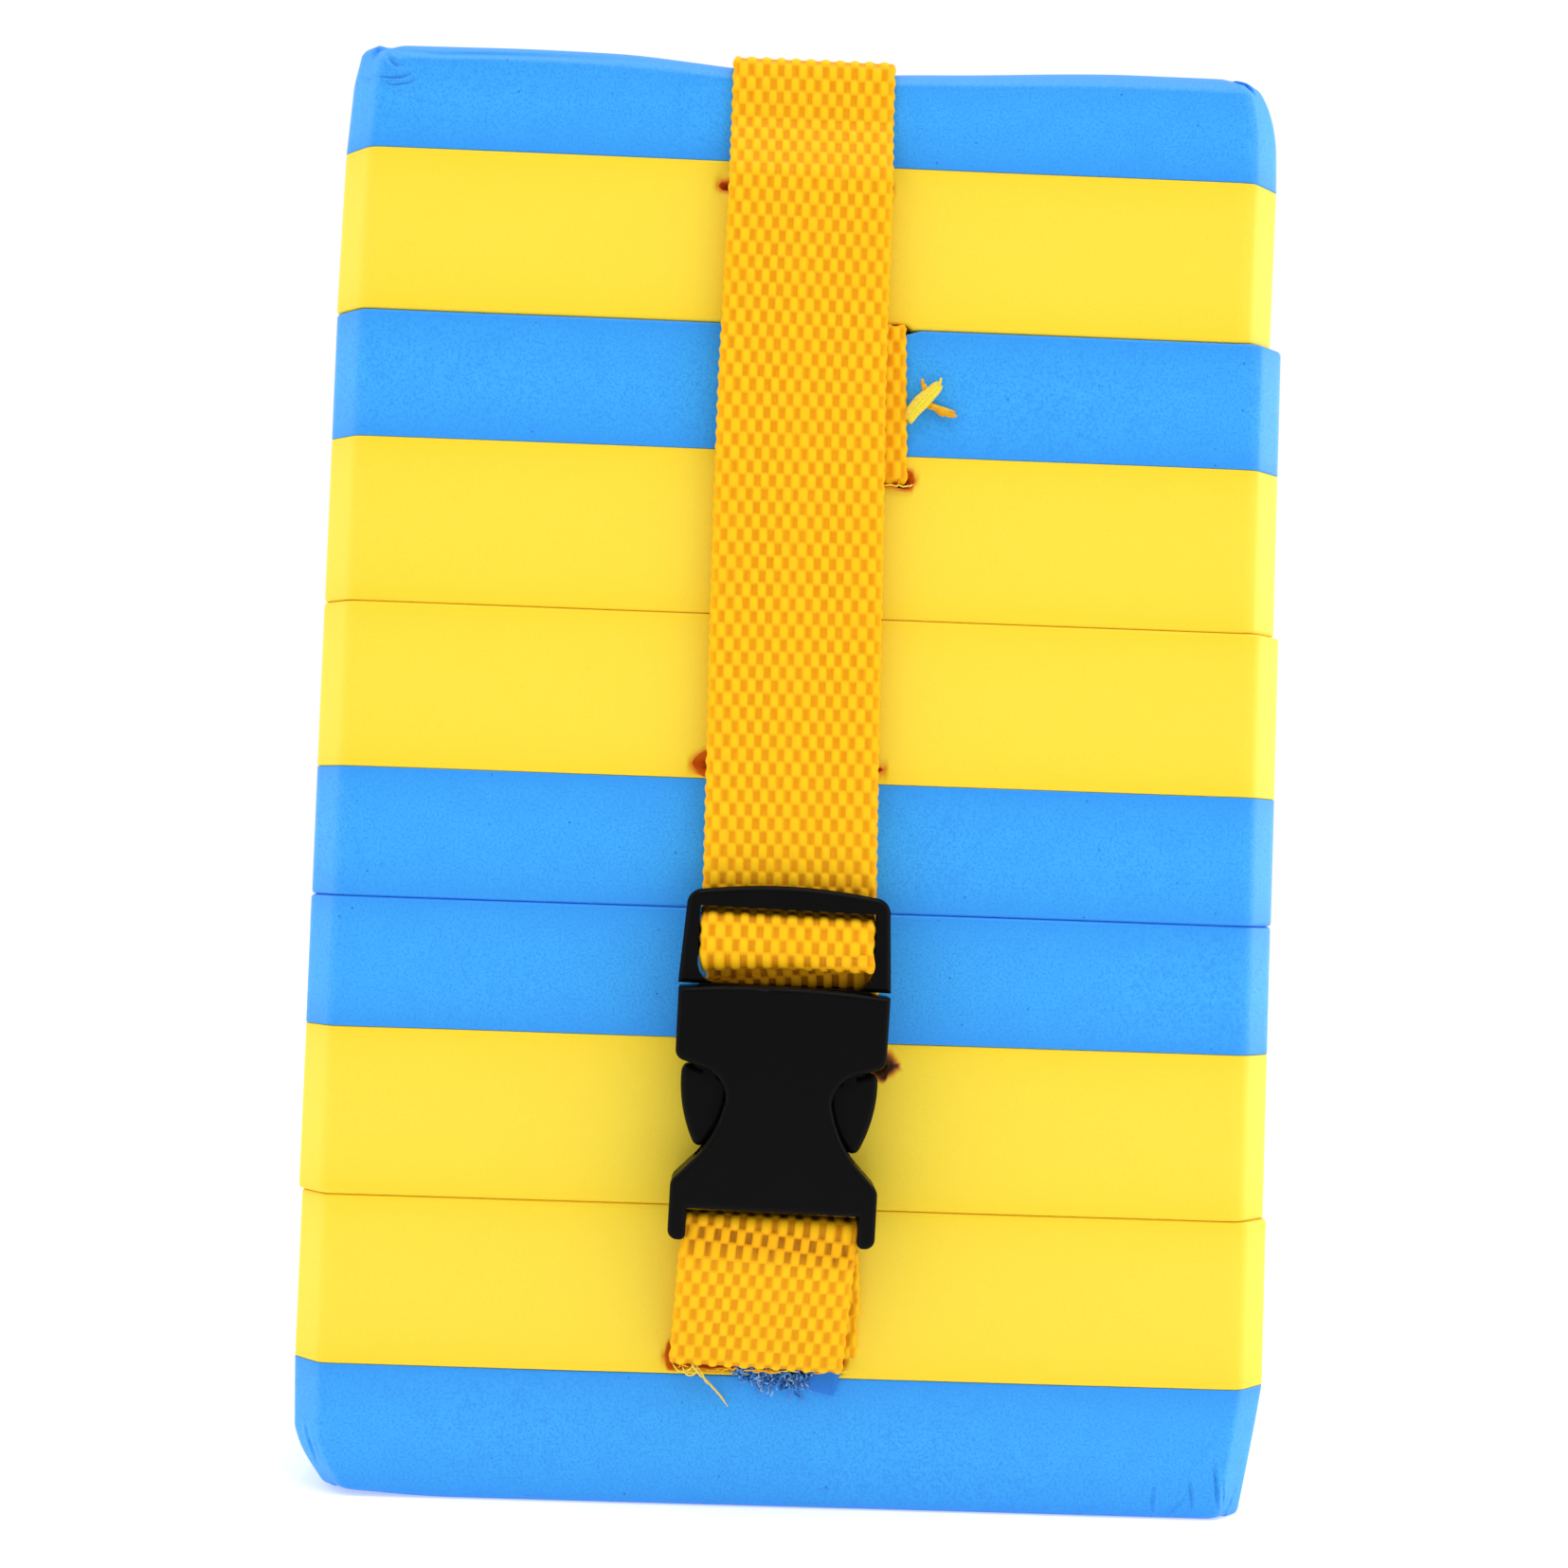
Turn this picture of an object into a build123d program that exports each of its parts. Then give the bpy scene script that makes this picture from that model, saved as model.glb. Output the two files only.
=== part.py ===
"""Stacked foam swim float: five two-colour foam blocks on one webbing belt with a side-release buckle.

Frame: millimetres, +Z up along the stack, front towards -Y, +X to the right.
The origin is on the ground under the middle of the whole float.
"""

from build123d import *
from math import cos, radians, sin
import os

os.makedirs("parts", exist_ok=True)

# ---------------------------------------------------------------- foam stack
FOAM_DEPTH = 95.0
FOAM_CHAMFER = 5.5
EDGE_ROUND = 1.5

# One row per block from the bottom up: its width, the layer that lies lowest, and the middle of
# its slot as x and the distance from the joint between its two layers.
BLOCKS = {
    5: {"width": 175.0, "low": "blue", "slot_x": -2.8, "slot_gap": 3.5},
    4: {"width": 175.0, "low": "yellow", "slot_x": 2.9, "slot_gap": 3.6},
    3: {"width": 175.0, "low": "blue", "slot_x": -2.2, "slot_gap": 2.6},
    2: {"width": 174.0, "low": "yellow", "slot_x": 2.5, "slot_gap": 4.3},
    1: {"width": 172.0, "low": "yellow", "slot_x": -2.6, "slot_gap": 4.5},
}
# Layer heights. The top block is squeezed by the belt that passes over it.
LAYERS = {number: {"blue": 23.2, "yellow": 29.8} for number in BLOCKS}
LAYERS[1] = {"blue": 18.5, "yellow": 29.5}
SLOT_WIDTH = 33.5
SLOT_HEIGHT = 2.4
LOOP_SLOT_HEIGHT = 4.6  # block 5 holds both layers of the buckle loop

# ------------------------------------------------------------------- webbing
WEB_WIDTH = 29.5
WEB = 1.5
BEND = 1.7  # centre-line radius of a tight webbing bend
LAYER_GAP = 0.1  # air between two layers of webbing that lie on each other
RUN_X = {5: -2.9, 4: 1.9, 3: -1.5, 2: 3.1, 1: -1.3}  # where the belt lies in each slot
GAP_RUN_X = 2.0  # belt between blocks 1 and 2
FRONT_STRAP_X = -1.3
STANDING_OUT = 2.65  # middle of each front layer, measured out from the foam
TAIL_OUT = 4.2
TAIL_FOOT_Z = 150.0  # the free end hangs down the back to here
HEM = 20.0

# -------------------------------------------------------------------- buckle
BUCKLE_X = -1.27
MOUTH_Z = 93.1  # mouth of the socket half
LEAN = 1.2  # degrees that the buckle leans to the right
HOUSING_BACK = 1.9
HOUSING_THICKNESS = 10.0
PLATE = 2.2  # front and back plates of the socket half
CAVITY_HALF = 15.4
SHOULDER_HALF = 18.5
WAIST_HALF = 9.25
LEG_HALF = 18.0
LEG_INNER = 14.9
BODY_FOOT = -39.2
LEG_FOOT = -44.7
BAR_LOW, BAR_HIGH = -44.2, -41.7
BAR_BACK, BAR_THICKNESS = 5.2, 3.2
BAR_ROUND = 0.9
FRAME_BACK, FRAME_THICKNESS = 5.0, 4.5
WINDOW_HALF = 15.5
WINDOW_LOW, WINDOW_HIGH = -0.3, 13.2
POST_FOOT = -0.45
MIDDLE_LOW, MIDDLE_HIGH = 4.4, 9.8
MIDDLE_BACK, MIDDLE_THICKNESS = 5.6, 2.4
ROOT_HALF, ROOT_FOOT = 15.0, -4.0
ROOT_BACK, ROOT_THICKNESS = 4.45, 4.9
GUIDE_WIDTH, GUIDE_FOOT = 4.0, -23.0
ARM_BACK, ARM_THICKNESS = 4.5, 4.8
ARM_TOP = -4.3
BEAM, BEAM_MIDDLE, BEAM_FOOT = 2.2, 12.3, -18.0
PAD_CORNER, PAD_ROUND = 1.4, 1.2
NECK_INNER, NECK_OUTER = 8.9, 14.9
NECK_TOP, NECK_FOOT = -12.8, -17.2
NECK_STEP = 0.5
THREAD_RADIUS = 0.4

# --------------------------------------------------------- places worked out
FRONT_PROUD = HOUSING_BACK + HOUSING_THICKNESS
BACK_PROUD = 3 * WEB + 0.1
FRONT_Y = FRONT_PROUD - (FRONT_PROUD + FOAM_DEPTH + BACK_PROUD) / 2
BACK_Y = FRONT_Y + FOAM_DEPTH
MIDDLE_Y = (FRONT_Y + BACK_Y) / 2


def stack_levels():
    """Bottom, layer joint, top and slot height of every block."""
    levels = {}
    bottom = 0.0
    for number, block in BLOCKS.items():
        joint = bottom + LAYERS[number][block["low"]]
        top = bottom + sum(LAYERS[number].values())
        towards_yellow = -1 if block["low"] == "yellow" else 1
        slot = joint + towards_yellow * block["slot_gap"]
        levels[number] = {"bottom": bottom, "joint": joint, "top": top, "slot": slot}
        bottom = top
    return levels


LEVELS = stack_levels()
STACK_TOP = LEVELS[1]["top"]
GAP_Z = LEVELS[2]["top"]  # the belt slips between blocks 1 and 2 here

lean = radians(LEAN)
# On this plane x runs across the buckle, y up along it, and the normal points out of the foam.
mouth = (BUCKLE_X, FRONT_Y, MOUTH_Z)
buckle_plane = Plane(origin=mouth, x_dir=(cos(lean), 0, -sin(lean)), z_dir=(0, -1, 0))
# On this one x runs out of the foam and y up along the buckle: side view of webbing that leans with it.
buckle_side = Plane(origin=mouth, x_dir=(0, -1, 0), z_dir=(-cos(lean), 0, sin(lean)))


def upright_side(middle_x):
    """Side view of upright webbing: x runs out from the foam's front, y is the height."""
    return Plane(origin=(middle_x, FRONT_Y, 0), x_dir=(0, -1, 0), z_dir=(-1, 0, 0))


def save(builder, label):
    """Label a finished piece and write it as one STEP file."""
    builder.part.label = label
    export_step(builder.part, f"parts/{label}.step")


# ---------------------------------------------------------------- foam layers
def foam_layer(number, colour):
    """One flat foam layer of a block, with chamfered corners and the belt's slot or groove."""
    block = BLOCKS[number]
    level = LEVELS[number]
    is_low = block["low"] == colour
    low = level["bottom"] if is_low else level["joint"]
    high = level["joint"] if is_low else level["top"]
    with BuildPart() as layer:
        with BuildSketch(Plane.XY.offset(low)):
            with Locations((0, MIDDLE_Y)):
                outline = Rectangle(block["width"], FOAM_DEPTH)
            chamfer(outline.vertices(), FOAM_CHAMFER)
        extrude(amount=high - low)
        if high == STACK_TOP:
            fillet(layer.faces().sort_by(Axis.Z)[-1].edges(), EDGE_ROUND)
        if colour == "yellow":
            slot_height = LOOP_SLOT_HEIGHT if number == 5 else SLOT_HEIGHT
            with Locations((block["slot_x"], MIDDLE_Y, level["slot"])):
                Box(SLOT_WIDTH, FOAM_DEPTH + 2, slot_height, mode=Mode.SUBTRACT)
        if GAP_Z in (low, high):
            with Locations((GAP_RUN_X, MIDDLE_Y, GAP_Z)):
                Box(SLOT_WIDTH, FOAM_DEPTH + 2, WEB + 0.1, mode=Mode.SUBTRACT)
    save(layer, f"block_{number}_{colour}")


for block_number in BLOCKS:
    foam_layer(block_number, "blue")
    foam_layer(block_number, "yellow")

# --------------------------------------------------- buckle, socket (female) half
with BuildPart() as buckle_female:
    with BuildSketch(buckle_plane.offset(HOUSING_BACK)):
        with BuildLine():
            ThreePointArc((0, -0.3), (9.5, -0.53), (SHOULDER_HALF, -1.2))
            Line((SHOULDER_HALF, -1.2), (18.4, -11.9))
            ThreePointArc((18.4, -11.9), (17.95, -13.15), (16.9, -13.8))
            Line((16.9, -13.8), (13.2, -14.9))
            ThreePointArc((13.2, -14.9), (10.4, -16.9), (WAIST_HALF, -20.4))
            ThreePointArc((WAIST_HALF, -20.4), (10.8, -25.3), (14.0, -30.5))
            Line((14.0, -30.5), (17.3, -33.9))
            ThreePointArc((17.3, -33.9), (17.85, -34.7), (LEG_HALF, -35.6))
            Line((LEG_HALF, -35.6), (LEG_HALF, -43.0))
            ThreePointArc((LEG_HALF, -43.0), (17.5, -44.2), (16.3, LEG_FOOT))
            Line((16.3, LEG_FOOT), (15.9, LEG_FOOT))
            ThreePointArc((15.9, LEG_FOOT), (15.19, -44.41), (LEG_INNER, -43.7))
            Polyline((LEG_INNER, -43.7), (LEG_INNER, BODY_FOOT), (0, BODY_FOOT))
            mirror(about=Plane.YZ)
        make_face()
    extrude(amount=HOUSING_THICKNESS)
    fillet(buckle_female.faces().sort_by(Axis.Y)[0].edges(), 0.9)
    fillet(buckle_female.faces().sort_by(Axis.Y)[-1].edges(), 0.8)
    # The hollow: a channel at the mouth, the two side windows, and a pocket for the arms' tips.
    with BuildSketch(buckle_plane.offset(HOUSING_BACK + PLATE)):
        with BuildLine():
            Polyline(
                (0, 2),
                (CAVITY_HALF, 2),
                (CAVITY_HALF, -14.3),
                (20, -12.95),
                (20, -30.8),
                (13.5, -30.8),
                (13.5, -35),
                (0, -35),
            )
            mirror(about=Plane.YZ)
        make_face()
    extrude(amount=HOUSING_THICKNESS - 2 * PLATE, mode=Mode.SUBTRACT)
    # The bar that the belt's loop is sewn round.
    with BuildSketch(buckle_side):
        with Locations((BAR_BACK + BAR_THICKNESS / 2, (BAR_LOW + BAR_HIGH) / 2)):
            RectangleRounded(BAR_THICKNESS, BAR_HIGH - BAR_LOW, BAR_ROUND)
    extrude(amount=LEG_INNER + 0.5, both=True)
save(buckle_female, "buckle_female")

# ------------------------------------------------------- buckle, plug (male) half
with BuildPart() as buckle_male:
    with BuildSketch(buckle_plane.offset(FRAME_BACK)):
        with BuildLine():
            ThreePointArc((0, 17.3), (8, 16.95), (15.2, 16.1))
            ThreePointArc((15.2, 16.1), (17.2, 15.2), (17.9, 13.2))
            Polyline((17.9, 13.2), (18.7, POST_FOOT), (0, POST_FOOT))
            mirror(about=Plane.YZ)
        make_face()
    extrude(amount=FRAME_THICKNESS)
    fillet(buckle_male.faces().sort_by(Axis.Y)[0].edges(), 1.1)
    fillet(buckle_male.faces().sort_by(Axis.Y)[-1].edges(), 0.8)
    with BuildSketch(buckle_plane.offset(FRAME_BACK)):
        with Locations((0, (WINDOW_LOW + WINDOW_HIGH) / 2)):
            window = Rectangle(2 * WINDOW_HALF, WINDOW_HIGH - WINDOW_LOW)
        fillet(window.vertices().group_by(Axis.Y)[0], 3.5)
    extrude(amount=FRAME_THICKNESS, mode=Mode.SUBTRACT)
    # The middle bar that grips the belt.
    with BuildSketch(buckle_side):
        with Locations((MIDDLE_BACK + MIDDLE_THICKNESS / 2, (MIDDLE_LOW + MIDDLE_HIGH) / 2)):
            RectangleRounded(MIDDLE_THICKNESS, MIDDLE_HIGH - MIDDLE_LOW, BAR_ROUND)
    extrude(amount=WINDOW_HALF + 0.5, both=True)
    # The root that enters the socket, and the guide between the arms.
    with BuildSketch(buckle_plane.offset(ROOT_BACK)):
        with Locations((0, (ROOT_FOOT + WINDOW_LOW) / 2)):
            Rectangle(2 * ROOT_HALF, WINDOW_LOW - ROOT_FOOT)
    extrude(amount=ROOT_THICKNESS)
    with BuildSketch(buckle_plane.offset(ROOT_BACK + 1)):
        with Locations((0, (GUIDE_FOOT + ROOT_FOOT) / 2)):
            guide = Rectangle(GUIDE_WIDTH, ROOT_FOOT - GUIDE_FOOT)
        chamfer(guide.vertices().group_by(Axis.Y)[0], 1.2)
    extrude(amount=ROOT_THICKNESS - 2)
save(buckle_male, "buckle_male")

# ------------------------------------------------------------------ release arms
with BuildPart() as release_arm_right:
    # The thumb pad, with the shoulder on top that catches the socket.
    with BuildSketch(buckle_plane.offset(ARM_BACK)) as pad:
        with BuildLine():
            Line((8.7, -16.6), (17.1, -14.15))
            ThreePointArc((17.1, -14.15), (16.8, -21.5), (13.7, -29.6))
            ThreePointArc((13.7, -29.6), (9.4, -23.0), (8.7, -16.6))
        make_face()
        fillet(pad.vertices(), PAD_CORNER)
    extrude(amount=ARM_THICKNESS)
    fillet(release_arm_right.faces().sort_by(Axis.Y)[0].edges(), PAD_ROUND)
    fillet(release_arm_right.faces().sort_by(Axis.Y)[-1].edges(), PAD_ROUND / 2)
    # The pad's neck, which reaches up under the socket's plates.
    with BuildSketch(buckle_plane.offset(ARM_BACK + NECK_STEP)):
        with Locations(((NECK_INNER + NECK_OUTER) / 2, (NECK_TOP + NECK_FOOT) / 2)):
            Rectangle(NECK_OUTER - NECK_INNER, NECK_TOP - NECK_FOOT)
    extrude(amount=ARM_THICKNESS - 2 * NECK_STEP)
    # The springy beam that joins the pad to the plug's root.
    with BuildSketch(buckle_plane.offset(ARM_BACK)):
        with Locations((BEAM_MIDDLE, (ARM_TOP + BEAM_FOOT) / 2)):
            Rectangle(BEAM, ARM_TOP - BEAM_FOOT)
    extrude(amount=ARM_THICKNESS)
save(release_arm_right, "release_arm_right")

with BuildPart() as release_arm_left:
    add(release_arm_right.part)
    mirror(about=Plane(origin=buckle_plane.origin, z_dir=buckle_plane.x_dir), mode=Mode.REPLACE)
save(release_arm_left, "release_arm_left")


# ----------------------------------------------------------------------- webbing
def webbing(label, plane, points, bend=BEND):
    """A flat strap that follows a rounded path in side view."""
    with BuildPart() as strap:
        with BuildSketch(plane.offset(-WEB_WIDTH / 2)):
            with BuildLine():
                path = FilletPolyline(*points, radius=bend)
            trace(path, WEB)
        extrude(amount=WEB_WIDTH)
    save(strap, label)


LOOP_DEPTH = 40.0  # how far the sewn loop reaches into block 5
LOOP_SPREAD = -47.5  # below this height along the buckle the loop's two layers draw together
layer_shift = (WEB + LAYER_GAP) / 2
slot_5 = LEVELS[5]["slot"] - MOUTH_Z
bar_front = BAR_BACK + BAR_THICKNESS + WEB / 2 + 0.05
bar_rear = BAR_BACK - WEB / 2 - 0.05
bar_over = BAR_HIGH + WEB / 2 + 0.05
outer_out = 2.75  # the two layers' places where they leave the slot
inner_out = 0.95
webbing(
    "belt_buckle_loop",
    buckle_side,
    [
        (-LOOP_DEPTH, slot_5 - layer_shift),
        (outer_out, slot_5 - layer_shift),
        (bar_front, LOOP_SPREAD),
        (bar_front, bar_over),
        (bar_rear, bar_over),
        (bar_rear, LOOP_SPREAD),
        (inner_out, slot_5 + 5.4),
        (inner_out, slot_5 + layer_shift),
        (-LOOP_DEPTH, slot_5 + layer_shift),
    ],
)

RUN_GAP = 0.6  # the front runs stop this far short of the turn that moves with the buckle
TURN_TOP = 15.5
turn_bar_front = MIDDLE_BACK + MIDDLE_THICKNESS + WEB / 2 + 0.1
turn_bar_rear = MIDDLE_BACK - WEB / 2 - 0.1
turn_low = MIDDLE_LOW - WEB / 2 - 0.05
turn_high = MIDDLE_HIGH + WEB / 2 + 0.05
webbing(
    "belt_adjuster_turn",
    buckle_side,
    [
        (STANDING_OUT, TURN_TOP),
        (STANDING_OUT, 11.3),
        (turn_bar_rear, 8.5),
        (turn_bar_rear, turn_low),
        (turn_bar_front, turn_low),
        (turn_bar_front, turn_high),
        (6.4, turn_high + 0.3),
        (TAIL_OUT, WINDOW_HIGH - 1.2),
        (TAIL_OUT, TURN_TOP),
    ],
    bend=1.5,
)

run_foot = MOUTH_Z + TURN_TOP + RUN_GAP
webbing(
    "belt_standing_run",
    upright_side(FRONT_STRAP_X),
    [(0, LEVELS[1]["slot"]), (STANDING_OUT, LEVELS[1]["slot"]), (STANDING_OUT, run_foot)],
)

TAIL_SPLIT_Z = 253.0  # above here the belt lies still when the buckle is drawn out
webbing(
    "belt_tail_run",
    upright_side(FRONT_STRAP_X),
    [
        (TAIL_OUT, run_foot),
        (TAIL_OUT, LEVELS[1]["slot"] + 1.5),
        (WEB / 2, LEVELS[1]["slot"] + 12),
        (WEB / 2, TAIL_SPLIT_Z),
    ],
)

back_of_foam = -FOAM_DEPTH
tail_back_out = back_of_foam - 1.5 * WEB - 0.1
with BuildPart() as belt_tail_end:
    with BuildSketch(upright_side(FRONT_STRAP_X)):
        with BuildLine():
            tail_path = FilletPolyline(
                (WEB / 2, TAIL_SPLIT_Z),
                (WEB / 2, STACK_TOP + WEB / 2),
                (back_of_foam - WEB / 2, STACK_TOP + WEB / 2),
                (back_of_foam - WEB / 2, LEVELS[1]["slot"] + 10),
                (tail_back_out, LEVELS[1]["slot"] + 2),
                (tail_back_out, TAIL_FOOT_Z),
                radius=BEND,
            )
        trace(tail_path, WEB)
        # The hem: the last stretch is folded back on the outside and sewn down.
        with Locations((tail_back_out - WEB / 2, TAIL_FOOT_Z + HEM / 2)):
            Rectangle(2 * WEB, HEM)
    extrude(amount=WEB_WIDTH / 2, both=True)
save(belt_tail_end, "belt_tail_end")


# Each flat run outside the foam: the face that it starts from, and its lower and upper ends as x and z.
upper_layer_5 = LEVELS[5]["slot"] + layer_shift
in_slot = {number: (RUN_X[number], LEVELS[number]["slot"]) for number in RUN_X}
in_gap = (GAP_RUN_X, GAP_Z)
outside_runs = [
    (BACK_Y + WEB, (RUN_X[5], upper_layer_5), in_slot[4]),
    (FRONT_Y, in_slot[4], in_slot[3]),
    (BACK_Y + WEB, in_slot[3], in_slot[2]),
    (FRONT_Y, in_slot[2], in_gap),
    (BACK_Y + WEB, in_gap, in_slot[1]),
]

with BuildPart() as belt_threaded_run:
    with Locations((RUN_X[5], (FRONT_Y + LOOP_DEPTH + BACK_Y) / 2, upper_layer_5)):
        Box(WEB_WIDTH, BACK_Y - FRONT_Y - LOOP_DEPTH, WEB)
    for run_x, run_z in (in_slot[4], in_slot[3], in_slot[2], in_gap, in_slot[1]):
        with Locations((run_x, MIDDLE_Y, run_z)):
            Box(WEB_WIDTH, FOAM_DEPTH, WEB)
    for face_y, low_end, high_end in outside_runs:
        half = WEB_WIDTH / 2
        with BuildSketch(Plane(origin=(0, face_y, 0), x_dir=(1, 0, 0), z_dir=(0, -1, 0))):
            with BuildLine():
                Polyline(
                    (low_end[0] - half, low_end[1] - WEB / 2),
                    (low_end[0] + half, low_end[1] - WEB / 2),
                    (high_end[0] + half, high_end[1] + WEB / 2),
                    (high_end[0] - half, high_end[1] + WEB / 2),
                    close=True,
                )
            make_face()
        extrude(amount=WEB)
save(belt_threaded_run, "belt_threaded_run")

# ----------------------------------------------------------------- stitching
# The loop's two layers are sewn together inside the lowest slot.
with BuildPart() as loop_stitching:
    with Locations((RUN_X[5], FRONT_Y + LOOP_DEPTH / 2, LEVELS[5]["slot"])):
        with GridLocations(3.2, 8.0, 8, 3):
            Cylinder(THREAD_RADIUS, 2 * WEB + 0.2)
save(loop_stitching, "loop_stitching")

# The tail's hem is held by two rows across its fold.
with BuildPart() as hem_stitching:
    hem_middle_y = FRONT_Y - tail_back_out + WEB / 2
    with Locations(Location((FRONT_STRAP_X, hem_middle_y, TAIL_FOOT_Z + HEM / 2), (90, 0, 0))):
        with GridLocations(2.8, HEM - 6, 9, 2):
            Cylinder(THREAD_RADIUS, 2 * WEB + 0.1)
save(hem_stitching, "hem_stitching")
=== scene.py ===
"""Looks of the stacked foam swim float: soft two-colour foam blocks, woven belt, satin black buckle.

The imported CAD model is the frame. Lengths in this script are millimetres in that frame, and `MM` turns
them into metres where a mesh is made. "Out" is the distance in front of the foam's front face.
"""

import math
from functools import cache

import bmesh
import bpy
import numpy as np
from mathutils import Matrix, Vector, noise


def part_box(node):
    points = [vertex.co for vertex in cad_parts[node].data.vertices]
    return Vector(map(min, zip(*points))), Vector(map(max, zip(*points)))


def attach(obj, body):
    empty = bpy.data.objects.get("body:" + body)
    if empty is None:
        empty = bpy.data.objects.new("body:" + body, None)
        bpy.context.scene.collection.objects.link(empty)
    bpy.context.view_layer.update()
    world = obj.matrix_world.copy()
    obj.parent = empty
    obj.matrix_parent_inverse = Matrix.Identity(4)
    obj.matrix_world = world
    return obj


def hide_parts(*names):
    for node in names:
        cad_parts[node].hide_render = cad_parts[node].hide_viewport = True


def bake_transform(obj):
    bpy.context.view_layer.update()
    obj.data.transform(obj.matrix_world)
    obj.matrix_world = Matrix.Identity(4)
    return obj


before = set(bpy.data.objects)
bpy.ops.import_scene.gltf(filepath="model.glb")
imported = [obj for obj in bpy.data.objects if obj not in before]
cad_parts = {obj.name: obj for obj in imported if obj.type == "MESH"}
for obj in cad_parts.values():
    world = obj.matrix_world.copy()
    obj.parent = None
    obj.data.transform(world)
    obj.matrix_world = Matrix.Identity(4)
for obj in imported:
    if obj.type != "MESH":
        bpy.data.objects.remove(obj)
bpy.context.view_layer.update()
MM = 0.001


def node_box(node):
    """Lowest and highest corner of a CAD node in millimetres."""
    low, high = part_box(node)
    return np.array(low) / MM, np.array(high) / MM


# ---------------------------------------------------------------- driving sizes
BLOCKS = (1, 2, 3, 4, 5)  # from the top down
FRONT_Y = node_box("block_3_blue")[0][1]
BACK_Y = node_box("block_3_blue")[1][1]
DEPTH = BACK_Y - FRONT_Y
STACK_TOP = node_box("block_1_blue")[1][2]
CHAMFER = 5.6
CHAMFER_SOFTNESS = 0.8
JOINT_ROUND = 0.75  # edges where two blocks meet
LAMINATION_ROUND = 0.22  # edges where the two colours of a block are glued
TOP_ROUND = 3.2
FOOT_ROUND = 1.8
BLOCK_SHIFT = {1: -0.5, 2: -0.2, 3: 0.25, 4: 0.2, 5: 0.8}  # how far each block sits off centre
TOP_BLOCK_SKEW = 0.8  # how far the top block leans over its own height

# Each slot: middle x, x of the belt in it, half width, distance from the block's colour joint, height,
# height of its gaping ends, length over which an end closes, and whether it closes to a point (power 1)
# or in a round (power 2).
SLOTS = {
    1: dict(x=-2.1, run=-1.3, half=15.6, gap=4.5, height=1.9, left=1.6, right=1.7, close=1.1, power=2.0),
    2: dict(x=2.7, run=3.1, half=16.6, gap=4.3, height=1.9, left=1.7, right=3.4, close=1.3, power=2.0),
    3: dict(x=-1.9, run=-1.5, half=17.2, gap=2.7, height=1.9, left=4.9, right=1.9, close=2.8, power=1.4),
    4: dict(x=2.3, run=1.9, half=15.7, gap=3.9, height=1.9, left=1.7, right=4.0, close=1.8, power=2.0),
    5: dict(x=-4.1, run=-3.4, half=16.0, gap=3.1, height=4.2, left=4.8, right=4.0, close=1.2, power=2.0),
}
SLOT_GRID = 1.6  # half height of a slot before its shape is given to it
GAPE_REACH = 4.5  # the ends gape over this length
SLOT_NARROWS = 3.2  # within this depth a slot closes on to the belt

WEB_WIDTH = 29.5
WEB = 1.5
WARPS = 22
WARP_PITCH = WEB_WIDTH / WARPS
ROW_PITCH = 2.45
SELVEDGE = 0.42  # how far the rounded edges reach past the woven faces
STATION_STEP = ROW_PITCH / 7  # along the strap
HIDDEN_STEP = 4.0  # inside the foam
BELT_X = -1.3
SPREAD = 1.2  # the front straps lie this much wider near the buckle
STANDING_OUT = 2.65
TAIL_OUT = 4.2
TAIL_FOOT = 150.0
TAIL_CUT_Z = 250.0  # the front piece of the belt ends here on the back, and the free end begins
HEM = 20.0

BUCKLE_LEAN = math.radians(1.2)
BUCKLE_X = -1.27
MOUTH_Z = 93.1


def slot_level(number):
    """Height of a block's slot."""
    yellow_low, yellow_high = node_box(f"block_{number}_yellow")
    blue_low = node_box(f"block_{number}_blue")[0]
    yellow_is_low = yellow_low[2] < blue_low[2]
    joint = yellow_high[2] if yellow_is_low else yellow_low[2]
    return joint + (-1 if yellow_is_low else 1) * SLOTS[number]["gap"]


SLOT_Z = {number: slot_level(number) for number in BLOCKS}
GAP_Z = node_box("block_2_blue")[1][2]


# ---------------------------------------------------------------- mesh helpers
def smooth_step(value):
    """0 below 0, 1 above 1, and a soft rise between."""
    t = np.clip(value, 0.0, 1.0)
    return t * t * (3 - 2 * t)


def mesh_object(name, points, faces, attributes=None, uvs=None):
    """A smooth-shaded mesh that faces outwards, from points in millimetres, with named per-point numbers."""
    mesh = bpy.data.meshes.new(name)
    mesh.from_pydata([tuple(p) for p in np.asarray(points) * MM], [], faces)
    mesh.validate()
    for key, values in (attributes or {}).items():
        layer = mesh.attributes.new(key, "FLOAT", "POINT")
        layer.data.foreach_set("value", np.asarray(values, np.float32))
    if uvs is not None:
        uv_layer = mesh.uv_layers.new(name="UVMap")
        loops = np.zeros(len(mesh.loops), np.int32)
        mesh.loops.foreach_get("vertex_index", loops)
        uv_layer.data.foreach_set("uv", np.asarray(uvs, np.float32)[loops].ravel())
    mesh.polygons.foreach_set("use_smooth", np.ones(len(mesh.polygons), bool))
    obj = bpy.data.objects.new(name, mesh)
    bpy.context.scene.collection.objects.link(obj)
    shape = bmesh.new()
    shape.from_mesh(mesh)
    bmesh.ops.recalc_face_normals(shape, faces=shape.faces)
    shape.to_mesh(mesh)
    shape.free()
    return obj


def tube_faces(rings, count, base=0):
    """Quads round a tube of rings with count points each, closed at both ends."""
    faces = []
    for ring in range(rings - 1):
        here, there = base + ring * count, base + (ring + 1) * count
        for column in range(count):
            after = (column + 1) % count
            faces.append((here + column, here + after, there + after, there + column))
    last = base + (rings - 1) * count
    faces.append(tuple(range(base, base + count)))
    faces.append(tuple(reversed(range(last, last + count))))
    return faces


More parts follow.
